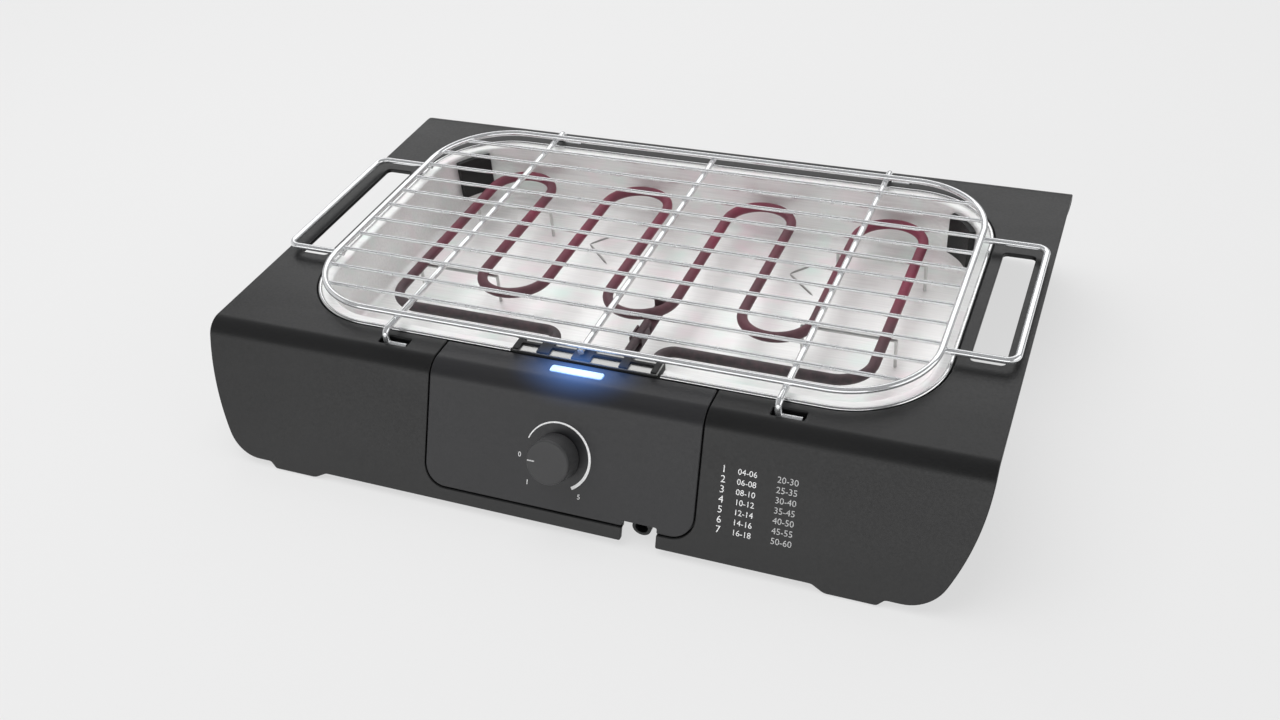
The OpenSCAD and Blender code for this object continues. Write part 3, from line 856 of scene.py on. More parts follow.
@dataclass(frozen=True)
class RolledSheet:
    """Bright rolled steel: grain along X, a slow waviness, and faint rose and green patches where tint is
    set.
    """

    name: str
    colour: Colour = (0.9, 0.9, 0.89)
    roughness: float = 0.42
    metallic: float = 1.0
    tint: bool = False
    on_cad: bool = False

    def material(self) -> bpy.types.Material:
        """Stretched noise for the grain, and slow noise for waves and tints.

        Returns:
            The material.
        """
        n = Nodes(self.name)
        grain = n.noise(700.0, 3.0, n.stretch((0.04, 1, 1)))
        wave = n.noise(16.0, 2.0)
        colour = n.blend(n.span(grain, 0.3, 0.7), tuple(c * 0.89 for c in self.colour), self.colour)
        if self.tint:
            patch = n.noise(28.0, 2.0, n.stretch((1, 1, 1), (0.3, 0.1, 0)))
            rose = n.blend(n.span(patch, 0.55, 0.8), colour, (0.95, 0.84, 0.87))
            green = n.noise(31.0, 2.0, n.stretch((1, 1, 1), (0.1, 0.7, 0.2)))
            colour = n.blend(n.span(green, 0.55, 0.8), rose, (0.84, 0.95, 0.9))
        rough = n.span(grain, 0.25, 0.75, self.roughness - 0.05, self.roughness + 0.07)
        start = n.round_edges() if self.on_cad else None
        wavy = n.bump(wave, 0.1 * MM, 0.3, start)
        return n.surface(Base_Color=colour, Metallic=self.metallic, Roughness=rough,
                         Normal=n.bump(grain, 0.012 * MM, 0.5, wavy))


@dataclass(frozen=True)
class HotSheath:
    """Heat-darkened sheath: near black at the leads, and a dull dark red where it glows."""

    name: str
    glow: float = 1.0

    def material(self) -> bpy.types.Material:
        """Scale and glow follow noise, and the glow fades out towards the leads at the front.

        Returns:
            The material.
        """
        n = Nodes(self.name)
        scale = n.noise(240.0, 4.0, rough=0.6)
        patch = n.noise(22.0, 2.0)
        y = n.node("SeparateXYZ", {0: n.coords}).outputs["Y"]
        back = n.span(y, -0.075, 0.02)
        colour = n.blend(n.span(scale, 0.35, 0.7), (0.035, 0.03, 0.032), (0.075, 0.05, 0.055))
        heat = n.math("MULTIPLY", back, n.span(patch, 0.3, 0.65, 0.35, 1.0))
        return n.surface(Base_Color=n.blend(heat, colour, (0.11, 0.018, 0.035)), Metallic=0.0,
                         Roughness=n.span(scale, 0.3, 0.7, 0.42, 0.62), Emission_Color=(0.5, 0.05, 0.12),
                         Emission_Strength=n.math("MULTIPLY", heat, 0.15 * self.glow),
                         Normal=n.bump(scale, 0.05 * MM, 0.6))


@dataclass(frozen=True)
class PlainSolid:
    """Small or hidden part: one colour broken by a fine mottle, with its edges rounded."""

    name: str
    colour: Colour
    metallic: float = 0.0
    roughness: float = 0.5
    cell: float = 500.0

    def material(self) -> bpy.types.Material:
        """Mottled colour, roughness and a light bump.

        Returns:
            The material.
        """
        n = Nodes(self.name)
        fine = n.noise(self.cell, 3.0)
        slow = n.noise(self.cell / 12, 2.0)
        colour = n.blend(n.span(slow, 0.3, 0.7), tuple(c * 0.82 for c in self.colour), self.colour)
        rough = n.span(fine, 0.3, 0.7, self.roughness - 0.07, self.roughness + 0.07)
        return n.surface(Base_Color=colour, Metallic=self.metallic, Roughness=rough,
                         Normal=n.bump(fine, 0.02 * MM, 0.6, n.round_edges(0.3)))


@dataclass(frozen=True)
class LitWindow:
    """Translucent bar lit from behind: one soft glow along it, brightest in the middle, and a diffusing
    grain.
    """

    name: str
    middle: Pair
    half: float
    half_width: float = 3.4

    def material(self) -> bpy.types.Material:
        """Emission that is brightest in the middle of the bar.

        Returns:
            The material.
        """
        n = Nodes(self.name)
        x, y = self.middle
        scale = (1 / (self.half * MM), 1 / (self.half_width * MM), 0)
        core = n.span(n.length(n.stretch(scale, (x * MM, y * MM, 0))), 0.35, 1.15, 1.0, 0.0)
        grain = n.noise(1200.0, 2.0)
        colour = n.blend(core, (0.1, 0.34, 0.95), (0.44, 0.68, 1.0))
        return n.surface(Base_Color=n.blend(grain, (0.5, 0.68, 0.9), (0.62, 0.78, 0.96)), Roughness=0.3,
                         Emission_Color=colour, Emission_Strength=n.span(core, 0.0, 1.0, 0.5, 0.92),
                         Normal=n.bump(grain, 0.01 * MM, 0.5))


@dataclass(frozen=True)
class Print:
    """Pad-printed ink: matt, a little uneven, and thin at its edges."""

    name: str
    colour: Colour

    def material(self) -> bpy.types.Material:
        """Ink whose tone is broken by a fine grain.

        Returns:
            The material.
        """
        n = Nodes(self.name)
        grain = n.noise(2600.0, 2.0)
        colour = n.blend(n.span(grain, 0.3, 0.6), tuple(c * 0.7 for c in self.colour), self.colour)
        return n.surface(Base_Color=colour, Roughness=n.span(grain, 0.3, 0.7, 0.5, 0.65),
                         Normal=n.bump(grain, 0.01 * MM, 0.4))


@dataclass(frozen=True)
class PaleFloor:
    """Plain pale table top that reads as an even light ground and keeps the grill's soft shadow."""

    name: str
    seen: float = 0.805

    def material(self) -> bpy.types.Material:
        """Mostly even light for the camera and for reflections, wholly even far off, and matt otherwise.

        Returns:
            The material.
        """
        n = Nodes(self.name)
        path = n.node("LightPath")
        direct = n.math("MAXIMUM", path.outputs["Is Camera Ray"], path.outputs["Is Glossy Ray"])
        even = n.node("Emission", {"Color": (self.seen, self.seen, self.seen), "Strength": 1.0}).outputs[0]
        matt = n.node("BsdfDiffuse", {"Color": (0.75, 0.75, 0.75)}).outputs[0]
        factor = n.math("MULTIPLY", direct, n.span(n.length(n.coords), 0.5, 2.2, 0.8, 1.0))
        mix = n.node("MixShader", {0: factor, 1: matt, 2: even})
        n.tree.links.new(mix.outputs[0], n.out.inputs["Surface"])
        return n.material


class Finishes:
    """Every material of the grill, made once."""

    def __init__(self, light_at: Triple) -> None:
        """Builds the materials.

        Args:
            light_at: Middle of the light bar, for its spill on the plastic around it.
        """
        self.housing = MouldedPlastic("housing_plastic", (0.0065, 0.0065, 0.0066)).material()
        self.panel = MouldedPlastic("panel_plastic", (0.0145, 0.0145, 0.0158), light=light_at).material()
        self.inner = MouldedPlastic("inner_plastic", (0.01, 0.01, 0.01), 0.55, 0.05, on_cad=True).material()
        self.pan = MouldedPlastic("pan_plastic", (0.01, 0.01, 0.0105), 0.55, 0.05).material()
        self.black = MouldedPlastic("black_plastic", (0.006, 0.006, 0.0063), 0.5, 0.03, light=light_at,
                                    on_cad=True).material()
        self.knob = MouldedPlastic("knob_plastic", (0.036, 0.036, 0.037), 0.45).material()
        self.chrome = PolishedWire("rack_chrome").material()
        self.satin = PolishedWire("bar_chrome", roughness=0.2).material()
        self.tray = RolledSheet("tray_steel", (0.96, 0.96, 0.95), metallic=0.42, tint=True).material()
        self.rim = RolledSheet("tray_rim_steel", (0.92, 0.92, 0.92), 0.2).material()
        self.plated = RolledSheet("zinc_steel", (0.62, 0.62, 0.61), 0.32, on_cad=True).material()
        self.sheath = HotSheath("element_sheath").material()
        self.cool = HotSheath("bulb_sheath", 0.0).material()
        self.rubber = PlainSolid("foot_rubber", (0.02, 0.02, 0.02), 0.0, 0.8, 900.0).material()
        self.brass = PlainSolid("brass_parts", (0.72, 0.5, 0.22), 1.0, 0.28).material()
        self.ceramic = PlainSolid("ceramic", (0.8, 0.76, 0.66), 0.0, 0.3).material()
        self.board = PlainSolid("board", (0.03, 0.16, 0.07), 0.0, 0.35).material()
        self.print = Print("white_print", (0.95, 0.95, 0.95)).material()
        self.faint_print = Print("grey_print", (0.55, 0.55, 0.55)).material()


# Sub-assemblies


@dataclass
class HousingSkin:
    """Moulded housing: bent skin, skirt of the well, pockets, ribs, bosses and feet."""

    sheet: BentSheet
    finish: Finishes
    half_len: float
    wall: float = 3.0
    side_r: float = 161.0
    corner_r: float = 26.3
    face_s: float = 86.5
    foot_z: float = 0.8
    foot: Pair = (160.0, 202.0)
    well: Triple = (212.2, 127.4, 60.8)
    bay: Triple = (88.9, 78.0, 14.8)
    panel_half: float = 88.1
    notch: Pair = (44.0, 66.0)
    hole: Triple = (219.5, 240.0, 60.5)
    hook: Pair = (127.3, 137.0)
    pocket: tuple[float, float, float, float] = (3.8, 16.2, 4.0, 6.0)
    pocket_wall: float = 1.5
    boss_dz: float = 22.0
    root_dz: float = 2.9
    skirt_dz: float = 14.0
    skirt_wall: float = 2.5
    head_gap: Pair = (-47.0, 53.0)
    screw_points: tuple[Pair, ...] = ((-165, 143), (0, 143), (165, 143),
                                                     (-165, -143), (165, -143))

    def quarter(self) -> Array:
        """Outline of the right back quarter, from the middle of the end to the inner end of the foot.

        The side is an arc of side_r that starts upright at the top plane, and the lower corner is an
        arc that touches it and the lower edge, both drawn on the sloping plane.

        Returns:
            Rows of (u, v).
        """
        corner_s = (self.face_s - self.corner_r) * self.side_r / (self.side_r - self.corner_r)
        side_a = math.degrees(math.asin(corner_s / self.side_r))
        centre = self.half_len - self.side_r
        side = arc(centre, 0, self.side_r, 0, side_a, 28)
        a = math.radians(side_a)
        gap = self.side_r - self.corner_r
        low = arc(centre + gap * math.cos(a), gap * math.sin(a), self.corner_r, side_a, 90, 12)
        curve = np.vstack([side, low[1:]])
        drop = curve[:, 1] * math.cos(math.radians(self.sheet.tilt))
        curve[:, 1] = self.sheet.v_of_drop(drop)
        v_edge = self.sheet.v_at(self.face_s)
        v_foot = float(self.sheet.v_of_drop(np.array(self.sheet.top_z - self.foot_z)))
        x0, x1 = self.foot
        tail = np.array([[x1 + 1.4, v_edge], [x1 - 0.1, v_edge + 0.4], [x1 - 3.2, v_foot - 0.7],
                         [x1 - 4.2, v_foot - 0.15], [x1 - 5.5, v_foot], [x0 + 9.5, v_foot],
                         [x0 + 8, v_foot - 0.2], [x0 + 6.5, v_foot - 0.7], [x0 + 1.2, v_edge + 0.5],
                         [x0, v_edge + 0.1], [x0 - 1.5, v_edge]])
        return np.vstack([[[self.half_len, 0.0]], curve, tail])

    def outline(self) -> Array:
        """Whole outline, counter-clockwise: the ends, the lower edges, the bay and the well's opening.

        Returns:
            The closed loop.
        """
        q = self.quarter()
        v_edge = -self.sheet.v_at(self.face_s)
        v_bay = -self.sheet.v_at(self.bay[1])
        hx, hy, r = self.well
        bx, _, br = self.bay
        n0, n1 = self.notch
        front = filleted([(-120, v_edge, 0), (n0, v_edge, 1.2), (n0, v_bay, 1.2), (-bx, v_bay, br),
                          (-bx, -hy, 1.5), (-hx, -hy, r), (-hx, hy, r), (hx, hy, r), (hx, -hy, r),
                          (bx, -hy, 1.5), (bx, v_bay, br), (n1, v_bay, 1.2), (n1, v_edge, 1.2),
                          (120, v_edge, 0)], 14)
        return np.vstack([q[1:], (q * [-1, 1])[:0:-1], -q[1:], front, (q * [1, -1])[:0:-1]])

    def holes(self) -> list[Array]:
        """Hand holes and hook pockets, clockwise.

        Returns:
            The closed loops.
        """
        x0, x1, hy = self.hole
        back, ahead, half, _ = self.pocket
        loops = [rounded_box((x1 - x0) / 2, hy, 3, 8, (s * (x0 + x1) / 2, 0)) for s in (-1, 1)]
        hx, hy = self.hook
        loops += [rounded_box((back + ahead) / 2, half, 1.2, 5, (x + (ahead - back) / 2, s * hy))
                  for x in (-hx, hx) for s in (-1, 1)]
        return [loop[::-1] for loop in loops]

    def skin(self) -> bpy.types.Object:
        """The bent skin with all its cut-outs."""
        verts, faces = cut_sheet(self.sheet, [self.outline(), *self.holes()], self.wall, 0.7)
        return weigh(make_mesh("housing_skin", verts, faces))

    def underside(self) -> bpy.types.Object:
        """Skirt and shelf of the well, pocket boxes, ribs, bosses and foot blocks under the skin."""
        t = self.sheet.top_z
        hx, hy, r = self.well
        x_end, x_start = self.head_gap
        base, way = WellPath(hx - r, hy - r, stops=(-118.0, x_end)).rings()
        base = np.vstack([[[x_start, -(hy - r)]], base])
        way = np.vstack([[[0.0, -1.0]], way])
        r_out, low = r + self.skirt_wall, t - self.skirt_dz
        ring = np.array([[r, t - 3.05], [r, t - 3.1], [r, low], [r_out, low], [r_out, t - 3.05]])
        shelf = np.array([[r - 6.2, t - 5.4], [r + 0.2, t - 5.4], [r + 0.2, t - 3.06], [r - 0.1, t - 2.4],
                          [r - 6.2, t - 2.4]])
        parts = []
        for profile in (ring, shelf):
            faces = grid_faces(len(base), len(profile), False, True).tolist()
            faces += [cap[::-1] for cap in end_caps(len(base), len(profile))]
            parts.append((carried(base, way, profile).reshape(-1, 3), faces))
        for x in (-self.hook[0], self.hook[0]):
            for s in (-1, 1):
                parts += self.pocket_parts(x, s * self.hook[1])
        low = t - self.boss_dz
        for x, y in self.screw_points:
            v, f = turned(np.array([[1.6, low], [4, low], [4, t - self.root_dz]]), 32)
            parts.append((v + [x, y, 0], f))
        for sx in (-1, 1):
            for sy in (-1, 1):
                parts += self.corner_parts(sx, sy)
        verts, faces = joined(parts)
        return bevel(make_mesh("housing_underside", verts, faces), 0.3, 1)

    def pocket_parts(self, x: float, y: float) -> list[MeshData]:
        """Floor and walls of the box under one hook slot.

        Args:
            x, y: Where the hook's rod comes down.

        Returns:
            Points and faces of each.
        """
        back, ahead, half, deep = self.pocket
        w = self.pocket_wall
        x0, x1, y0, y1 = x - back - w, x + ahead + w, y - half - w, y + half + w
        floor, top = self.sheet.top_z - deep, self.sheet.top_z - self.root_dz
        walls = ((x0, y0, x1, y0 + w), (x0, y1 - w, x1, y1), (x0, y0, x0 + w, y1), (x1 - w, y0, x1, y1))
        return [brick((x0, y0, floor - w), (x1, y1, floor)),
                *(brick((a, b, floor - w + 0.1), (c, d, top)) for a, b, c, d in walls)]

    def corner_parts(self, sx: int, sy: int) -> list[MeshData]:
        """Rib across the grip end, and the block and webs over a rubber pad.

        Args:
            sx, sy: Signs of the corner.

        Returns:
            Points and faces of each.
        """
        t = self.sheet.top_z
        tan = math.tan(math.radians(self.sheet.tilt))
        flip = sx * sy < 0

        def prism(points: list[Triple], step: Triple) -> MeshData:
            """Flat outline carried along a step, and mirrored to the corner.

            Args:
                points: The outline.
                step: How far it is carried.

            Returns:
                Points and faces.
            """
            p = np.array(points, float)
            v = np.vstack([p, p + step]) * [sx, sy, 1]
            k = len(p)
            f = [[i, (i + 1) % k, (i + 1) % k + k, i + k] for i in range(k)]
            f += [list(range(k))[::-1], list(range(k, 2 * k))]
            return v, [g[::-1] for g in f] if flip else f

        def face_y(z: float) -> float:
            """Outer surface of the sloping face at a height."""
            return self.sheet.half_top + (t - z) * tan

        rib_y, rib_t, root = 104, 2.4, t - self.root_dz
        x0, x1, y0, low = 170.0, 192.0, 167, 2.2
        rib = [(219.5, rib_y, root), (246, rib_y, root), (246, rib_y, t - 6), (219.5, rib_y, t - 14)]
        out = [prism(rib, (0, rib_t, 0)),
               prism([(x0, y0, 4.4), (x1, y0, 4.4), (x1, y0, low), (x0, y0, low)], (0, 18, 0))]
        for x in (x0, x1 - rib_t):
            web = [(x, face_y(26) - 1, 26), (x, y0, 4), (x, y0, low), (x, face_y(low) - 1, low)]
            out.append(prism(web, (rib_t, 0, 0)))
        return out

    def seam_ring(self, inner: float, outer: float) -> list[Array]:
        """Band along the panel's seam, in two parts beside the cord notch.

        Args:
            inner, outer: Distances of the band's edges from the panel's outline.

        Returns:
            Two closed loops, counter-clockwise.
        """
        n0, n1 = self.notch
        back = -130.7
        hx, low, r = self.panel_half, -self.sheet.v_at(self.bay[1] - 0.8), self.bay[2] - 0.8
        a, b, ra, rb = hx + inner, hx + outer, r + inner, r + outer
        v_in, v_out = low - inner, low - outer
        left = filleted([(n0, v_out, 0), (n0, v_in, 0), (-a, v_in, ra), (-a, back, 0), (-b, back, 0),
                         (-b, v_out, rb)], 12)
        right = filleted([(n1, v_in, 0), (n1, v_out, 0), (b, v_out, rb), (b, back, 0), (a, back, 0),
                          (a, v_in, ra)], 12)
        return [left, right]

    def rebate(self) -> bpy.types.Object:
        """Shelf behind the panel's seam, with the web that ties it to the skin."""
        parts = [cut_sheet(Deeper(self.sheet, self.wall + 0.3), [loop], 1.8, 0.3, 2)
                 for loop in self.seam_ring(-2.4, 2.4)]
        parts += [cut_sheet(Deeper(self.sheet, self.wall - 0.6), [loop], 1.0, 0.1, 1)
                  for loop in self.seam_ring(0.8, 2.4)]
        return weigh(make_mesh("panel_rebate", *joined(parts)))

    def build(self) -> None:
        """Builds and dresses the housing."""
        ready(self.rebate(), Body.HOUSING, self.finish.housing, ("housing",))
        ready(self.skin(), Body.HOUSING, self.finish.housing, ("housing",))
        ready(self.underside(), Body.HOUSING, self.finish.pan, ("housing",))


@dataclass
class WellPan:
    """Plastic pan under the tray: tapered wall, floor with cooling slots, ribs and screw lugs."""

    finish: Finishes
    top_z: float
    centres: Pair = (151.4, 66.6)
    top_r: float = 63.1
    foot_r: float = 54.1
    wall: float = 2.5
    floor_z: float = 6.0
    skirt_dz: float = 14.0
    notch: Pair = (-47.0, 53.0)
    notch_dz: float = 31.0
    lug_y: Pair = (124.4, 149.0)
    lug_dz: float = 25.0
    rib_x: tuple[float, ...] = (-132.0, -60.0, 60.0, 132.0)
    rib_half: float = 111.0

    def build(self) -> None:
        """Builds and dresses the pan."""
        z1 = self.top_z - self.skirt_dz
        cut_z = self.top_z - self.notch_dz
        path = WellPath(*self.centres, stops=self.notch)
        r_at = self.foot_r + (self.top_r - self.foot_r) * (cut_z - self.floor_z) / (z1 - self.floor_z)
        foot = arc(self.foot_r - 2.2, self.floor_z + 2.5, 2.5, -85, -4, 5)
        profile = np.vstack([[[self.foot_r - 4, self.floor_z]], foot,
                             [[r_at, cut_z], [self.top_r, z1 - 0.5]]])
        pts = path.surface(profile)
        rows, cols = pts.shape[:2]
        keep = np.ones((rows, cols - 1), bool)
        keep[rows - 2, -1] = False
        faces = grid_faces(rows, cols, True, False, keep).tolist()
        shell = thicken(make_mesh("well_pan_wall", pts.reshape(-1, 3), faces), self.wall)
        ready(shell, Body.HOUSING, self.finish.pan, ("well_pan",))
        base, way = path.rings()
        keep_rows = np.arange(len(base)) < 4 * path.corner_points
        edge = (base + (self.foot_r - 3.0) * way)[keep_rows]
        slots = [rounded_box(2, 20, 1.9, 5, (x, y))[::-1]
                 for x in np.arange(-108, 109, 24) for y in (-60, 0, 60)]
        verts, faces = cut_sheet(Plane(self.floor_z + self.wall), [edge, *slots], self.wall, 0.5, 2)
        floor = weigh(make_mesh("well_pan_floor", verts, faces))
        ready(floor, Body.HOUSING, self.finish.pan, ("well_pan",))
        low = self.top_z - self.lug_dz
        lugs = []
        for x, s in ((-165, 1), (0, 1), (165, 1), (-165, -1), (165, -1)):
            y0, y1 = sorted(s * y for y in self.lug_y)
            lugs.append(brick((x - 6, y0, low), (x + 6, y1, low + 3)))
        root = self.floor_z + self.wall - 0.4
        ribs = [brick((x - 1.2, -self.rib_half, root), (x + 1.2, self.rib_half, self.floor_z + 12))
                for x in self.rib_x]
        extra = bevel(make_mesh("well_pan_ribs", *joined(lugs + ribs)), 0.4, 2)
        ready(extra, Body.HOUSING, self.finish.pan, ("well_pan",))


@dataclass
class ReflectorTray:
    """Pressed tray: rolled edge, flat bright rim, steep wall, rounded foot and floor with arrow ridges."""

    finish: Finishes
    top_z: float
    centres: Pair = (151.4, 66.6)
    out_r: float = 60.0
    in_r: float = 50.6
    foot_r: float = 48.6
    rim_dz: float = 0.6
    depth: float = 45.0
    fillet: float = 5.0
    sheet_t: float = 0.8
    notch: Pair = (-46.0, 52.0)
    notch_dz: float = 28.5
    bead: float = 1.5
    arrows: tuple[Pair, ...] = ((-80.0, 66.0), (74.0, 66.0))
    arms: tuple[Pair, ...] = ((-44.0, 32.0), (50.0, 23.0))
    ridge_r: float = 0.95

    def build(self) -> None:
        """Builds and dresses the tray."""
        self.shell()
        self.rolled_edge()
        self.ridges()

    def shell(self) -> None:
        """Sheet from the rolled edge to the middle of the floor, open where the control unit passes."""
        rim = self.top_z - self.rim_dz
        floor = self.top_z - self.depth
        lip = arc(self.in_r + 1.6, rim - 1.6, 1.6, 90, 172, 6)
        cut = self.top_z - self.notch_dz
        cut_r = self.in_r - (self.in_r - self.foot_r) * (rim - cut) / (rim - floor)
        foot = arc(self.foot_r - self.fillet, floor + self.fillet, self.fillet, 0, -90, 8)
        profile = np.vstack([[[self.out_r - self.bead, rim]], lip, [[cut_r, cut]], foot,
                             [[self.foot_r - self.fillet - 1.5, floor], [12.0, floor], [1.0, floor]]])
        path = WellPath(*self.centres, stops=self.notch)
        pts = path.surface(profile)
        rows, cols = pts.shape[:2]
        keep = np.ones((rows, cols - 1), bool)
        keep[rows - 2, :len(lip) + 1] = False
        faces = grid_faces(rows, cols, True, False, keep).tolist()
        faces.append(list(range(cols - 1, rows * cols, cols))[::-1])
        shell = thicken(make_mesh("tray_shell", pts.reshape(-1, 3), faces), self.sheet_t)
        ready(shell, Body.TRAY, self.finish.tray, ("reflector_tray",))

    def open_path(self, d: float, x0: float, x1: float) -> Array:
        """Ring at distance d that starts at x1 on the front side and ends at x0."""
        base, way = WellPath(*self.centres, 30).rings()
        xy = base + d * way
        y = -(self.centres[1] + d)
        return np.vstack([[[x1, y]], xy, [[x0, y]]])

    def rolled_edge(self) -> None:
        """Rolled edge: a round bead around the rim, with closed ends at the head."""
        z = self.top_z - self.rim_dz
        xy = self.open_path(self.out_r - self.bead, *self.notch)
        path = np.column_stack([xy, np.full(len(xy), z)])
        bead = make_mesh("tray_rolled_edge", *tube(path, self.bead, 14))
        ready(bead, Body.TRAY, self.finish.rim, ("reflector_tray",))

    def ridges(self) -> None:
        """Two arrow-shaped ridges, each of two tapered arms pressed up from the floor, in a darker steel
        than the tray as painted shade.
        """
        floor = self.top_z - self.depth
        parts = []
        t = np.linspace(0, 1, 14)
        radius = self.ridge_r * np.sqrt(np.clip(1 - (2 * t - 1) ** 6, 0.02, 1))
        for x, y in self.arrows:
            for degrees, length in self.arms:
                a = math.radians(degrees)
                xy = np.array([x, y]) + t[:, None] * length * np.array([math.cos(a), math.sin(a)])
                parts.append(tube(np.column_stack([xy, np.full(len(t), floor - 0.15)]), radius, 12))
        # Painted shade: the ridges are pressed from the tray's own sheet, but take the darker zinc_steel
        # finish so that they read as shaded lines.
        ready(make_mesh("tray_arrow_ridges", *joined(parts)), Body.TRAY, self.finish.plated,
              ("reflector_tray",))


@dataclass
class WireRack:
    """Chromed rack: frame, cross rods with hooked ends, cooking bars, handle loops and welds."""

    finish: Finishes
    top_z: float
    heavy: float = 2.1
    thin: float = 1.3
    half: Pair = (204.4, 121.7)
    corner_r: float = 55.0
    pitch: float = 20.3
    bars_each_side: int = 5
    frame_dz: float = 9.6
    cross_dz: float = 5.8
    bar_dz: float = 8.8
    cross_x: float = 127.3
    hook_y: float = 137.0
    hook_dz: float = -3.6
    hook_len: float = 14.0
    loop_x: float = 246.5
    loop_y: float = 63.0
    loop_r: float = 7.0
    bend_r: float = 3.2

    def level(self, xy: Array, dz: float) -> Array:
        """Plane points put at a height over the top plane."""
        return np.column_stack([xy, np.full(len(xy), self.top_z + dz)])

    def reach(self, y: float) -> float:
        """Half length of the frame at y: the straight side, or the corner's circle past it."""
        cx, cy = self.half[0] - self.corner_r, self.half[1] - self.corner_r
        past = max(0.0, abs(y) - cy)
        return cx + math.sqrt(self.corner_r ** 2 - past ** 2)

    def frame(self) -> None:
        """Frame: one closed wire."""
        loop = rounded_box(*self.half, self.corner_r, 30)
        piece = make_mesh("rack_frame_wire", *tube(self.level(loop, self.frame_dz), self.heavy, 20, True))
        ready(piece, Body.RACK, self.finish.chrome, ("rack_frame",))

    def rods(self) -> None:
        """Cross rods: the outer two bend down with a small radius and end in a foot along X."""
        parts = []
        bend = self.bend_r
        z0, z1 = self.top_z + self.cross_dz, self.top_z + self.hook_dz
        steps = np.radians(np.linspace(0, 90, 7))
        for x in (-self.cross_x, self.cross_x):
            down = np.column_stack([np.full(7, x), self.hook_y - bend + bend * np.sin(steps),
                                    z0 - bend + bend * np.cos(steps)])
            out = np.column_stack([x + bend - bend * np.cos(steps), np.full(7, self.hook_y),
                                   z1 + bend - bend * np.sin(steps)])
            half = np.vstack([[[x, 40, z0]], down, out, [[x + self.hook_len, self.hook_y, z1]]])
            path = np.vstack([(half * [1, -1, 1])[::-1], half])
            parts.append(tube(path, self.heavy, 18, up=(0, 1, 0)))
        middle = np.array([[0, y, z0] for y in (-self.half[1] - 1.4, -40, 40, self.half[1] + 1.4)])
        parts.append(tube(middle, self.heavy, 18))
        piece = make_mesh("rack_rods", *joined(parts))
        ready(piece, Body.RACK, self.finish.chrome, ("rack_cross_rods",))

    def bars(self) -> None:
        """Cooking bars, each from frame to frame."""
        parts = []
        for k in range(-self.bars_each_side, self.bars_each_side + 1):
            y = k * self.pitch
            hx = self.reach(y) - 1.3
            xs = np.linspace(-hx, hx, 9)
            parts.append(tube(self.level(np.column_stack([xs, np.full(9, y)]), self.bar_dz), self.thin, 14))
        piece = make_mesh("rack_bars_wire", *joined(parts))
        ready(piece, Body.RACK, self.finish.satin, ("rack_bars",))

    def handle(self, side: int) -> None:
        """Handle loop at one end.

        Args:
            side: -1 for the left, 1 for the right.
        """
        x0, r = self.half[0] - 1.6, self.loop_r
        top = arc(self.loop_x - r, self.loop_y - r, r, 0, 90, 9)
        half = np.vstack([top, [[x0, self.loop_y]]])
        path = np.vstack([(half * [1, -1])[::-1], half]) * [side, 1]
        name = "left" if side < 0 else "right"
        piece = make_mesh(f"rack_loop_{name}", *tube(self.level(path, self.cross_dz), self.heavy, 18))
        ready(piece, Body.RACK, self.finish.chrome, (f"rack_handle_{name}",))

    def welds(self) -> None:
        """Flattened weld beads wherever two wires cross."""
        spots = []
        ys = np.arange(-self.bars_each_side, self.bars_each_side + 1) * self.pitch
        z_bar = self.top_z + self.bar_dz - self.thin
        z_frame = self.top_z + self.frame_dz - self.heavy
        for x in (-self.cross_x, 0.0, self.cross_x):
            spots += [((x, y, z_bar), (2.6, 1.7, 0.75)) for y in ys]
            spots += [((x, s * self.half[1], z_frame), (2.2, 2.2, 0.9)) for s in (-1, 1)]
        for y in ys:
            spots += [((s * (self.reach(y) - 1.8), y, self.top_z + self.bar_dz), (1.5, 1.8, 1.6))
                      for s in (-1, 1)]
        for s in (-1, 1):
            spots += [((s * self.half[0], t * self.loop_y, z_frame), (2.4, 2.0, 0.9)) for t in (-1, 1)]
        piece = make_mesh("rack_welds", *joined([blob(np.array(p), r) for p, r in spots]), smooth=80)
        ready(piece, Body.RACK, self.finish.chrome)

    def build(self) -> None:
        """Builds and dresses the rack."""
        self.frame()
        self.rods()
        self.bars()
        for side in (-1, 1):
            self.handle(side)
        self.welds()


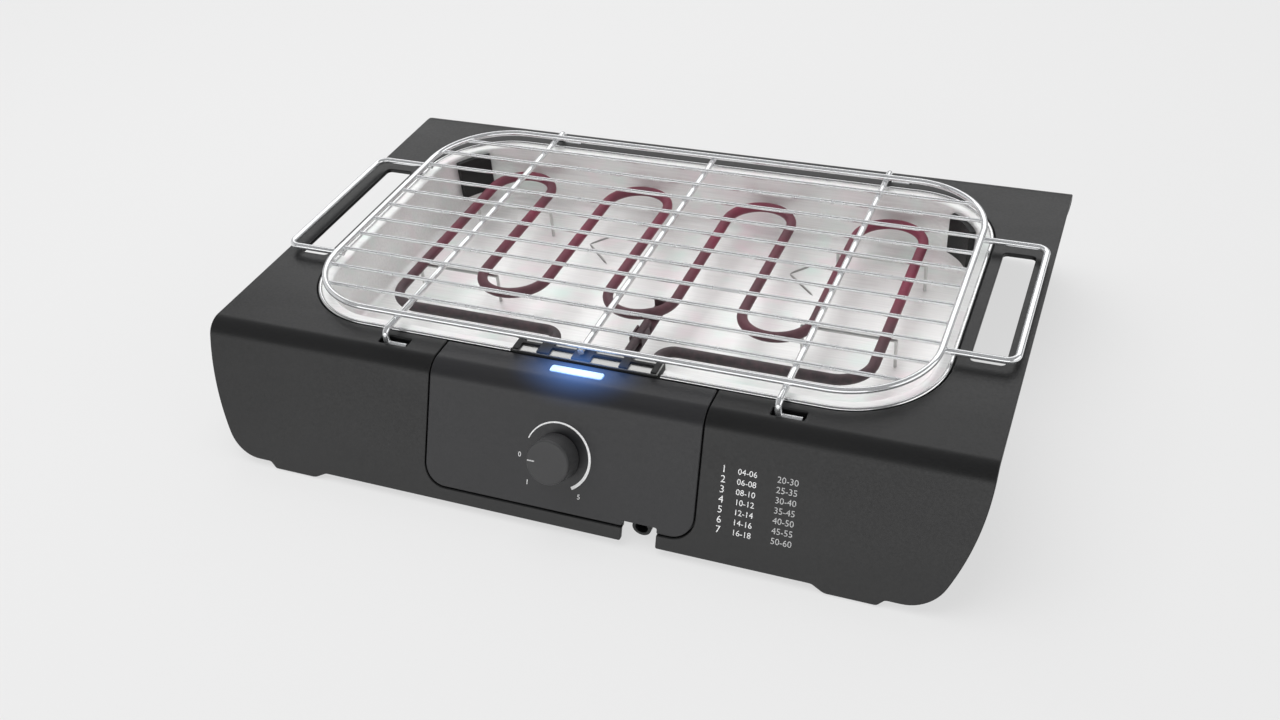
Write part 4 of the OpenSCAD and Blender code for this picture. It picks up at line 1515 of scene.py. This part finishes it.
@dataclass
class HeatingElement:
    """Sheathed element and the thermostat's bulb; the flanges and stands stay CAD nodes."""

    finish: Finishes
    top_z: float
    radius: float = 3.5
    axis_dz: float = 20.0
    pitch: float = 47.0
    middle_x: float = -2.0
    back: float = 109.5
    front: float = -43.5
    run: float = -75.0
    outer_r: float = 22.0
    leg_r: float = 10.0
    legs: Pair = (-37.5, 33.0)
    leg_end: float = -118.2
    bulb: Pair = (12.5, 3.0)
    bulb_dz: float = 20.6
    bulb_y: Pair = (-100.0, -50.0)

    def path(self) -> Array:
        """Centre line from one leg to the other.

        It goes forward to back along eight strands, which are joined by half circles of half the pitch.

        Returns:
            Points of the centre line.
        """
        r = self.pitch / 2
        left, right = self.middle_x - 3.5 * self.pitch, self.middle_x + 3.5 * self.pitch
        out = [np.array([[self.legs[0], self.leg_end]]),
               arc(self.legs[0] - self.leg_r, self.run - self.leg_r, self.leg_r, 0, 90, 9),
               arc(left + self.outer_r, self.run + self.outer_r, self.outer_r, 270, 180, 13)]
        for i in range(7):
            x = left + (i + 0.5) * self.pitch
            if i % 2 == 0:
                out.append(arc(x, self.back - r, r, 180, 0, 25))
            else:
                out.append(arc(x, self.front + r, r, 180, 360, 25))
        out += [arc(right - self.outer_r, self.run + self.outer_r, self.outer_r, 0, -90, 13),
                arc(self.legs[1] + self.leg_r, self.run - self.leg_r, self.leg_r, 90, 180, 9),
                np.array([[self.legs[1], self.leg_end]])]
        xy = np.vstack(out)
        return np.column_stack([xy, np.full(len(xy), self.top_z - self.axis_dz)])

    def build(self) -> None:
        """Builds and dresses the element."""
        sheath = make_mesh("element_tube", *tube(self.path(), self.radius, 20))
        ready(sheath, Body.CONTROL, self.finish.sheath, ("heating_element",))
        z = self.top_z - self.bulb_dz
        x, r = self.bulb
        y0, y1 = self.bulb_y
        tip = np.linspace(0, 0.94, 6) * math.pi / 2
        ys = np.concatenate([[self.leg_end, y0], y1 + r * np.sin(tip)])
        rs = np.concatenate([[r, r], r * np.cos(tip)])
        path = np.column_stack([np.full(len(ys), x), ys, np.full(len(ys), z)])
        bulb = make_mesh("thermostat_bulb", *tube(path, rs, 18))
        ready(bulb, Body.CONTROL, self.finish.cool, ("sensor_bulb",))


@dataclass
class ControlUnit:
    """Front panel with its prints, light bar and knob."""

    sheet: BentSheet
    finish: Finishes
    half_x: float = 88.1
    back_y: float = 127.8
    foot_s: float = 77.2
    corner_r: float = 14.0
    notch: Triple = (44.0, 66.0, 74.0)
    light: Triple = (2.3, -135.3, 34.0)
    knob_s: float = 42.5
    knob_d: float = 29.0
    knob_h: float = 15.0
    knob_gap: float = 0.8
    number_h: float = 4.4
    ring_r: float = 20.9
    table_s: float = 29.5
    table_pitch: float = 6.1
    table_rows: int = 7
    columns: Triple = (103.0, 117.0, 140.5)

    @property
    def knob_v(self) -> float:
        """v of the knob's axis on the unrolled skin."""
        return -self.sheet.v_at(self.knob_s)

    def panel(self) -> None:
        """Panel skin: over the shoulder, down the face, with its openings."""
        v0 = -self.back_y
        v1 = -self.sheet.v_at(self.foot_s)
        n0, n1, n_s = self.notch
        v_n = -self.sheet.v_at(n_s)
        loop = filleted([(self.half_x, v0, 1.5), (-self.half_x, v0, 1.5), (-self.half_x, v1, self.corner_r),
                         (n0, v1, 0.8), (n0, v_n, 1.2), (n1, v_n, 1.2), (n1, v1, 0.8),
                         (self.half_x, v1, self.corner_r)], 14)
        lx, ly, length = self.light
        slot = rounded_box(length / 2 + 0.1, 3.1, 1.6, 6, (lx, ly))[::-1]
        hole = arc(0, self.knob_v, 5.2, 360, 0, 33)[:-1]
        verts, faces = cut_sheet(self.sheet, [loop, slot, hole], 3.0, 0.8)
        piece = weigh(make_mesh("control_panel_skin", verts, faces))
        ready(piece, Body.CONTROL, self.finish.panel, ("control_panel",))

    def window(self) -> None:
        """Light bar with a softly crowned top."""
        lx, ly, length = self.light
        t = self.sheet.top_z
        loop = rounded_box(length / 2, 3.0, 1.5, 6, (lx, ly))
        verts, faces = cut_sheet(Plane(t + 0.2), [loop], 3.2, 0.45, 4)
        piece = weigh(make_mesh("light_bar", verts, faces))
        glow = LitWindow("window_plastic", (lx, ly), length / 2).material()
        ready(piece, Body.CONTROL, glow, ("light_window",))

    def printed(self, uv: Array, faces: list, name: str, material: bpy.types.Material,
                body: Body = Body.CONTROL) -> None:
        """Thin print on the skin.

        Args:
            uv: Points on the unrolled skin.
            faces: Faces over them, counter-clockwise.
            name: The piece's name.
            material: The ink.
            body: What it moves with.
        """
        piece = make_mesh(name, self.sheet.place(uv, -0.06), faces)
        ready(piece, body, material)

    def dial(self) -> None:
        """Ring round the knob that widens clockwise, to both sides of its middle radius."""
        count = 72
        a = np.radians(np.linspace(158, -60, count))
        wide = np.linspace(0.35, 0.95, count)
        radii = [self.ring_r + k * wide for k in (-1, 1)]
        rows = [np.column_stack([r * np.cos(a), r * np.sin(a)]) for r in radii]
        uv = np.stack(rows, 1).reshape(-1, 2) + [0, self.knob_v]
        self.printed(uv, grid_faces(count, 2).tolist(), "dial_ring", self.finish.print)

    def digits(self, words: list[tuple[str, float, float, float]], name: str, material: bpy.types.Material,
               body: Body = Body.CONTROL) -> None:
        """Plain numbers printed on the skin.

        Args:
            words: Rows of (text, u, v, height).
            name: The piece's name.
            material: The ink.
            body: What they move with.
        """
        parts = []
        for text, u, v, size in words:
            curve = bpy.data.curves.new("digit", "FONT")
            curve.body = text
            curve.size = size
            curve.align_x = "CENTER"
            curve.align_y = "CENTER"
            curve.resolution_u = 3
            holder = bpy.data.objects.new("digit", curve)
            bpy.context.scene.collection.objects.link(holder)
            graph = bpy.context.evaluated_depsgraph_get()
            mesh = bpy.data.meshes.new_from_object(holder.evaluated_get(graph))
            pts = np.zeros(len(mesh.vertices) * 3)
            mesh.vertices.foreach_get("co", pts)
            flat = pts.reshape(-1, 3)[:, :2] + [u, v]
            polygons = [list(p.vertices) for p in mesh.polygons]
            parts.append((np.column_stack([flat, np.zeros(len(flat))]), polygons))
            bpy.data.objects.remove(holder)
            bpy.data.curves.remove(curve)
            bpy.data.meshes.remove(mesh)
        verts, faces = joined(parts)
        self.printed(verts[:, :2], faces, name, material, body)

    def prints(self) -> None:
        """Numbers at the dial, and the plain table of numbers on the housing beside the panel."""
        places = (("0", -24.6, -3.6), ("1", -18.5, -20.0), ("5", 15.6, -22.6))
        dial = [(text, u, self.knob_v + dv, self.number_h) for text, u, dv in places]
        self.digits(dial, "dial_numbers", self.finish.print)
        u0, u1, u2 = self.columns
        rows, faint = [], []
        for i in range(self.table_rows):
            low = -self.sheet.v_at(self.table_s + i * self.table_pitch)
            rows += [(str(i + 1), u0, low, 6.2), (f"{4 + 2 * i:02d}-{6 + 2 * i:02d}", u1, low, 5.0)]
            faint.append((f"{20 + 5 * i}-{30 + 5 * i}", u2, low, 5.4))
        for name, words, ink in (("number_table", rows, self.finish.print),
                                 ("number_table_right", faint, self.finish.faint_print)):
            self.digits(words, name, ink, Body.HOUSING)

    def knob(self) -> None:
        """Knob: a plain drafted drum with a soft top edge, a skirt groove and a pointer line set to 0."""
        r, h = self.knob_d / 2, self.knob_h - self.knob_gap
        profile = np.vstack([[[5.4, 2.0], [5.4, h - 3], [r - 2.2, h - 3], [r - 2.2, 0.35]],
                             arc(r - 1.85, 0.35, 0.35, 180, 270, 4), arc(r - 0.4, 0.4, 0.4, 270, 355, 4),
                             [[r - 0.5, h - 2.2]], arc(r - 2.1, h - 1.5, 1.5, 5, 88, 8), [[r - 3.5, h]]])
        verts, faces = turned(profile, 96)
        dot = brick((1.9 - r, -0.9, h - 0.3), (6.5 - r, -0.1, h + 0.12))
        for name, mesh, ink in (("knob_drum", (verts, faces), self.finish.knob),
                                ("knob_pointer", dot, self.finish.faint_print)):
            pts = self.on_face(np.asarray(mesh[0]) + [0, 0, self.knob_gap])
            piece = weigh(make_mesh(name, pts, mesh[1]))
            ready(piece, Body.KNOB, ink, ("knob",) if name == "knob_drum" else ())

    def on_face(self, pts: Array) -> Array:
        """Points given about the knob's axis, with Z out of the face and Y up the slope."""
        a = math.radians(self.sheet.tilt)
        up = np.array([0, math.sin(a), math.cos(a)])
        out = np.array([0, -math.cos(a), math.sin(a)])
        origin = self.sheet.place(np.array([[0.0, self.knob_v]]))[0]
        return origin + pts[:, :1] * [1, 0, 0] + pts[:, 1:2] * up + pts[:, 2:] * out

    def build(self) -> None:
        """Builds and dresses the front of the control unit."""
        self.panel()
        self.window()
        self.dial()
        self.prints()
        self.knob()


def dress_cad(finish: Finishes) -> None:
    """Gives every CAD node that stays its finish.

    Args:
        finish: The materials.
    """
    plan = {
        "pan_screws": finish.plated, "rubber_feet": finish.rubber, "tray_corner_posts": finish.black,
        "control_back": finish.inner, "control_screws": finish.plated, "light_board": finish.board,
        "thermostat": finish.ceramic, "thermostat_nut": finish.brass, "terminal_block": finish.ceramic,
        "cord_gland": finish.inner, "heat_shield": finish.plated, "head_comb": finish.black,
        "element_flanges": finish.plated, "terminal_pins": finish.brass, "element_stands": finish.plated,
        "sensor_strap": finish.cool, "knob_shaft": finish.plated, "housing": finish.housing,
        "well_pan": finish.pan, "reflector_tray": finish.tray, "control_panel": finish.panel,
        "light_window": finish.panel, "heating_element": finish.sheath, "sensor_bulb": finish.cool,
        "knob": finish.knob, "rack_frame": finish.chrome, "rack_cross_rods": finish.chrome,
        "rack_bars": finish.satin, "rack_handle_left": finish.chrome, "rack_handle_right": finish.chrome,
    }
    for node, material in plan.items():
        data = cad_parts[node].data
        data.materials.clear()
        data.materials.append(material)
        LOG.info("%s: CAD node dressed in %s", node, material.name)


@dataclass(frozen=True)
class Lamp:
    """Wide soft lamp aimed at the middle of the table: place in millimetres, sides in metres, watts."""

    name: str
    at: Triple
    wide: float
    high: float
    watts: float
    in_reflections: bool = True

    def build(self) -> None:
        """Puts the lamp in the scene."""
        data = bpy.data.lights.new(self.name, "AREA")
        data.shape = "RECTANGLE"
        data.size = self.wide
        data.size_y = self.high
        data.energy = self.watts
        lamp = bpy.data.objects.new(self.name, data)
        place = Vector(self.at) * MM
        aim = (-place).to_track_quat("-Z", "Y").to_matrix().to_4x4()
        lamp.matrix_world = Matrix.Translation(place) @ aim
        lamp.visible_glossy = self.in_reflections
        bpy.context.scene.collection.objects.link(lamp)


@dataclass
class Studio:
    """Pale floor, even surroundings, soft lamps and the camera at the photograph's angle."""

    top_z: float
    focal_px: float = 1345.1
    image_px: float = 1280.0
    sensor: float = 36.0
    azimuth: float = 24.45
    elevation: float = 36.46
    roll: float = -5.03
    eye: Triple = (301.97, -702.52, 477.95)
    lamps: tuple[Lamp, ...] = (
        Lamp("lamp_back", (-300, 2600, 1850), 5.0, 1.6, 30.5),
        Lamp("lamp_front", (-150, -2800, 560), 4.6, 1.1, 24.5),
        Lamp("lamp_right", (2600, 100, 900), 3.0, 1.6, 19.0),
        Lamp("lamp_left", (-2600, 0, 900), 3.0, 1.6, 5.0),
        Lamp("lamp_over", (-700, 100, 2150), 3.0, 2.4, 72.0, in_reflections=False),
    )
    ground: float = 15000.0

    def camera(self) -> None:
        """Camera whose right axis is turned about the view axis by the roll."""
        az, el, ro = (math.radians(a) for a in (self.azimuth, self.elevation, self.roll))
        fwd = np.array([-math.sin(az) * math.cos(el), math.cos(az) * math.cos(el), -math.sin(el)])
        level = np.array([math.cos(az), math.sin(az), 0.0])
        right = math.cos(ro) * level + math.sin(ro) * np.cross(level, fwd)
        up = np.cross(right, fwd)
        data = bpy.data.cameras.new("camera")
        data.sensor_width = self.sensor
        data.lens = self.focal_px * self.sensor / self.image_px
        data.clip_start, data.clip_end = 0.01, 50
        cam = bpy.data.objects.new("camera", data)
        eye = Vector(self.eye) + Vector((0, 0, self.top_z))
        turn = Matrix(np.column_stack([right, up, -fwd]).tolist()).to_4x4()
        cam.matrix_world = Matrix.Translation(eye * MM) @ turn
        bpy.context.scene.collection.objects.link(cam)
        bpy.context.scene.camera = cam

    def world(self) -> None:
        """Pale surroundings: even light, and a pale ground for camera rays."""
        world = bpy.data.worlds.new("surroundings")
        bpy.context.scene.world = world
        world.use_nodes = True
        tree = world.node_tree
        tree.nodes.clear()
        out = tree.nodes.new("ShaderNodeOutputWorld")
        path = tree.nodes.new("ShaderNodeLightPath")
        seen = tree.nodes.new("ShaderNodeBackground")
        seen.inputs["Color"].default_value = (0.83, 0.83, 0.83, 1)
        light = tree.nodes.new("ShaderNodeBackground")
        light.inputs["Color"].default_value = (0.97, 0.98, 1.0, 1)
        light.inputs["Strength"].default_value = 0.2
        mix = tree.nodes.new("ShaderNodeMixShader")
        tree.links.new(path.outputs["Is Camera Ray"], mix.inputs[0])
        tree.links.new(light.outputs[0], mix.inputs[1])
        tree.links.new(seen.outputs[0], mix.inputs[2])
        tree.links.new(mix.outputs[0], out.inputs["Surface"])

    def floor(self) -> None:
        """Wide floor under the grill."""
        half = self.ground
        verts = np.array([[-half, -half, 0], [half, -half, 0], [half, half, 0], [-half, half, 0]])
        obj = make_mesh("floor", verts, [[0, 1, 2, 3]])
        obj.data.materials.append(PaleFloor("pale_floor").material())

    def build(self) -> None:
        """Sets up the view and the light."""
        bpy.context.scene.view_settings.view_transform = "Standard"
        self.camera()
        for lamp in self.lamps:
            lamp.build()
        self.world()
        self.floor()


def main() -> None:
    """Builds the pieces in order, from the housing to the rack."""
    logging.basicConfig(level=logging.INFO, format="%(name)s: %(message)s")
    _, high = cad_box("housing")
    top_z = float(high[2])
    sheet = BentSheet(top_z)
    Studio(top_z).build()
    unit_light = ControlUnit.light
    finish = Finishes((unit_light[0], unit_light[1], top_z))
    dress_cad(finish)
    HousingSkin(sheet, finish, float(high[0])).build()
    WellPan(finish, top_z).build()
    ReflectorTray(finish, top_z).build()
    HeatingElement(finish, top_z).build()
    ControlUnit(sheet, finish).build()
    WireRack(finish, top_z).build()


if __name__ == "__main__":
    main()
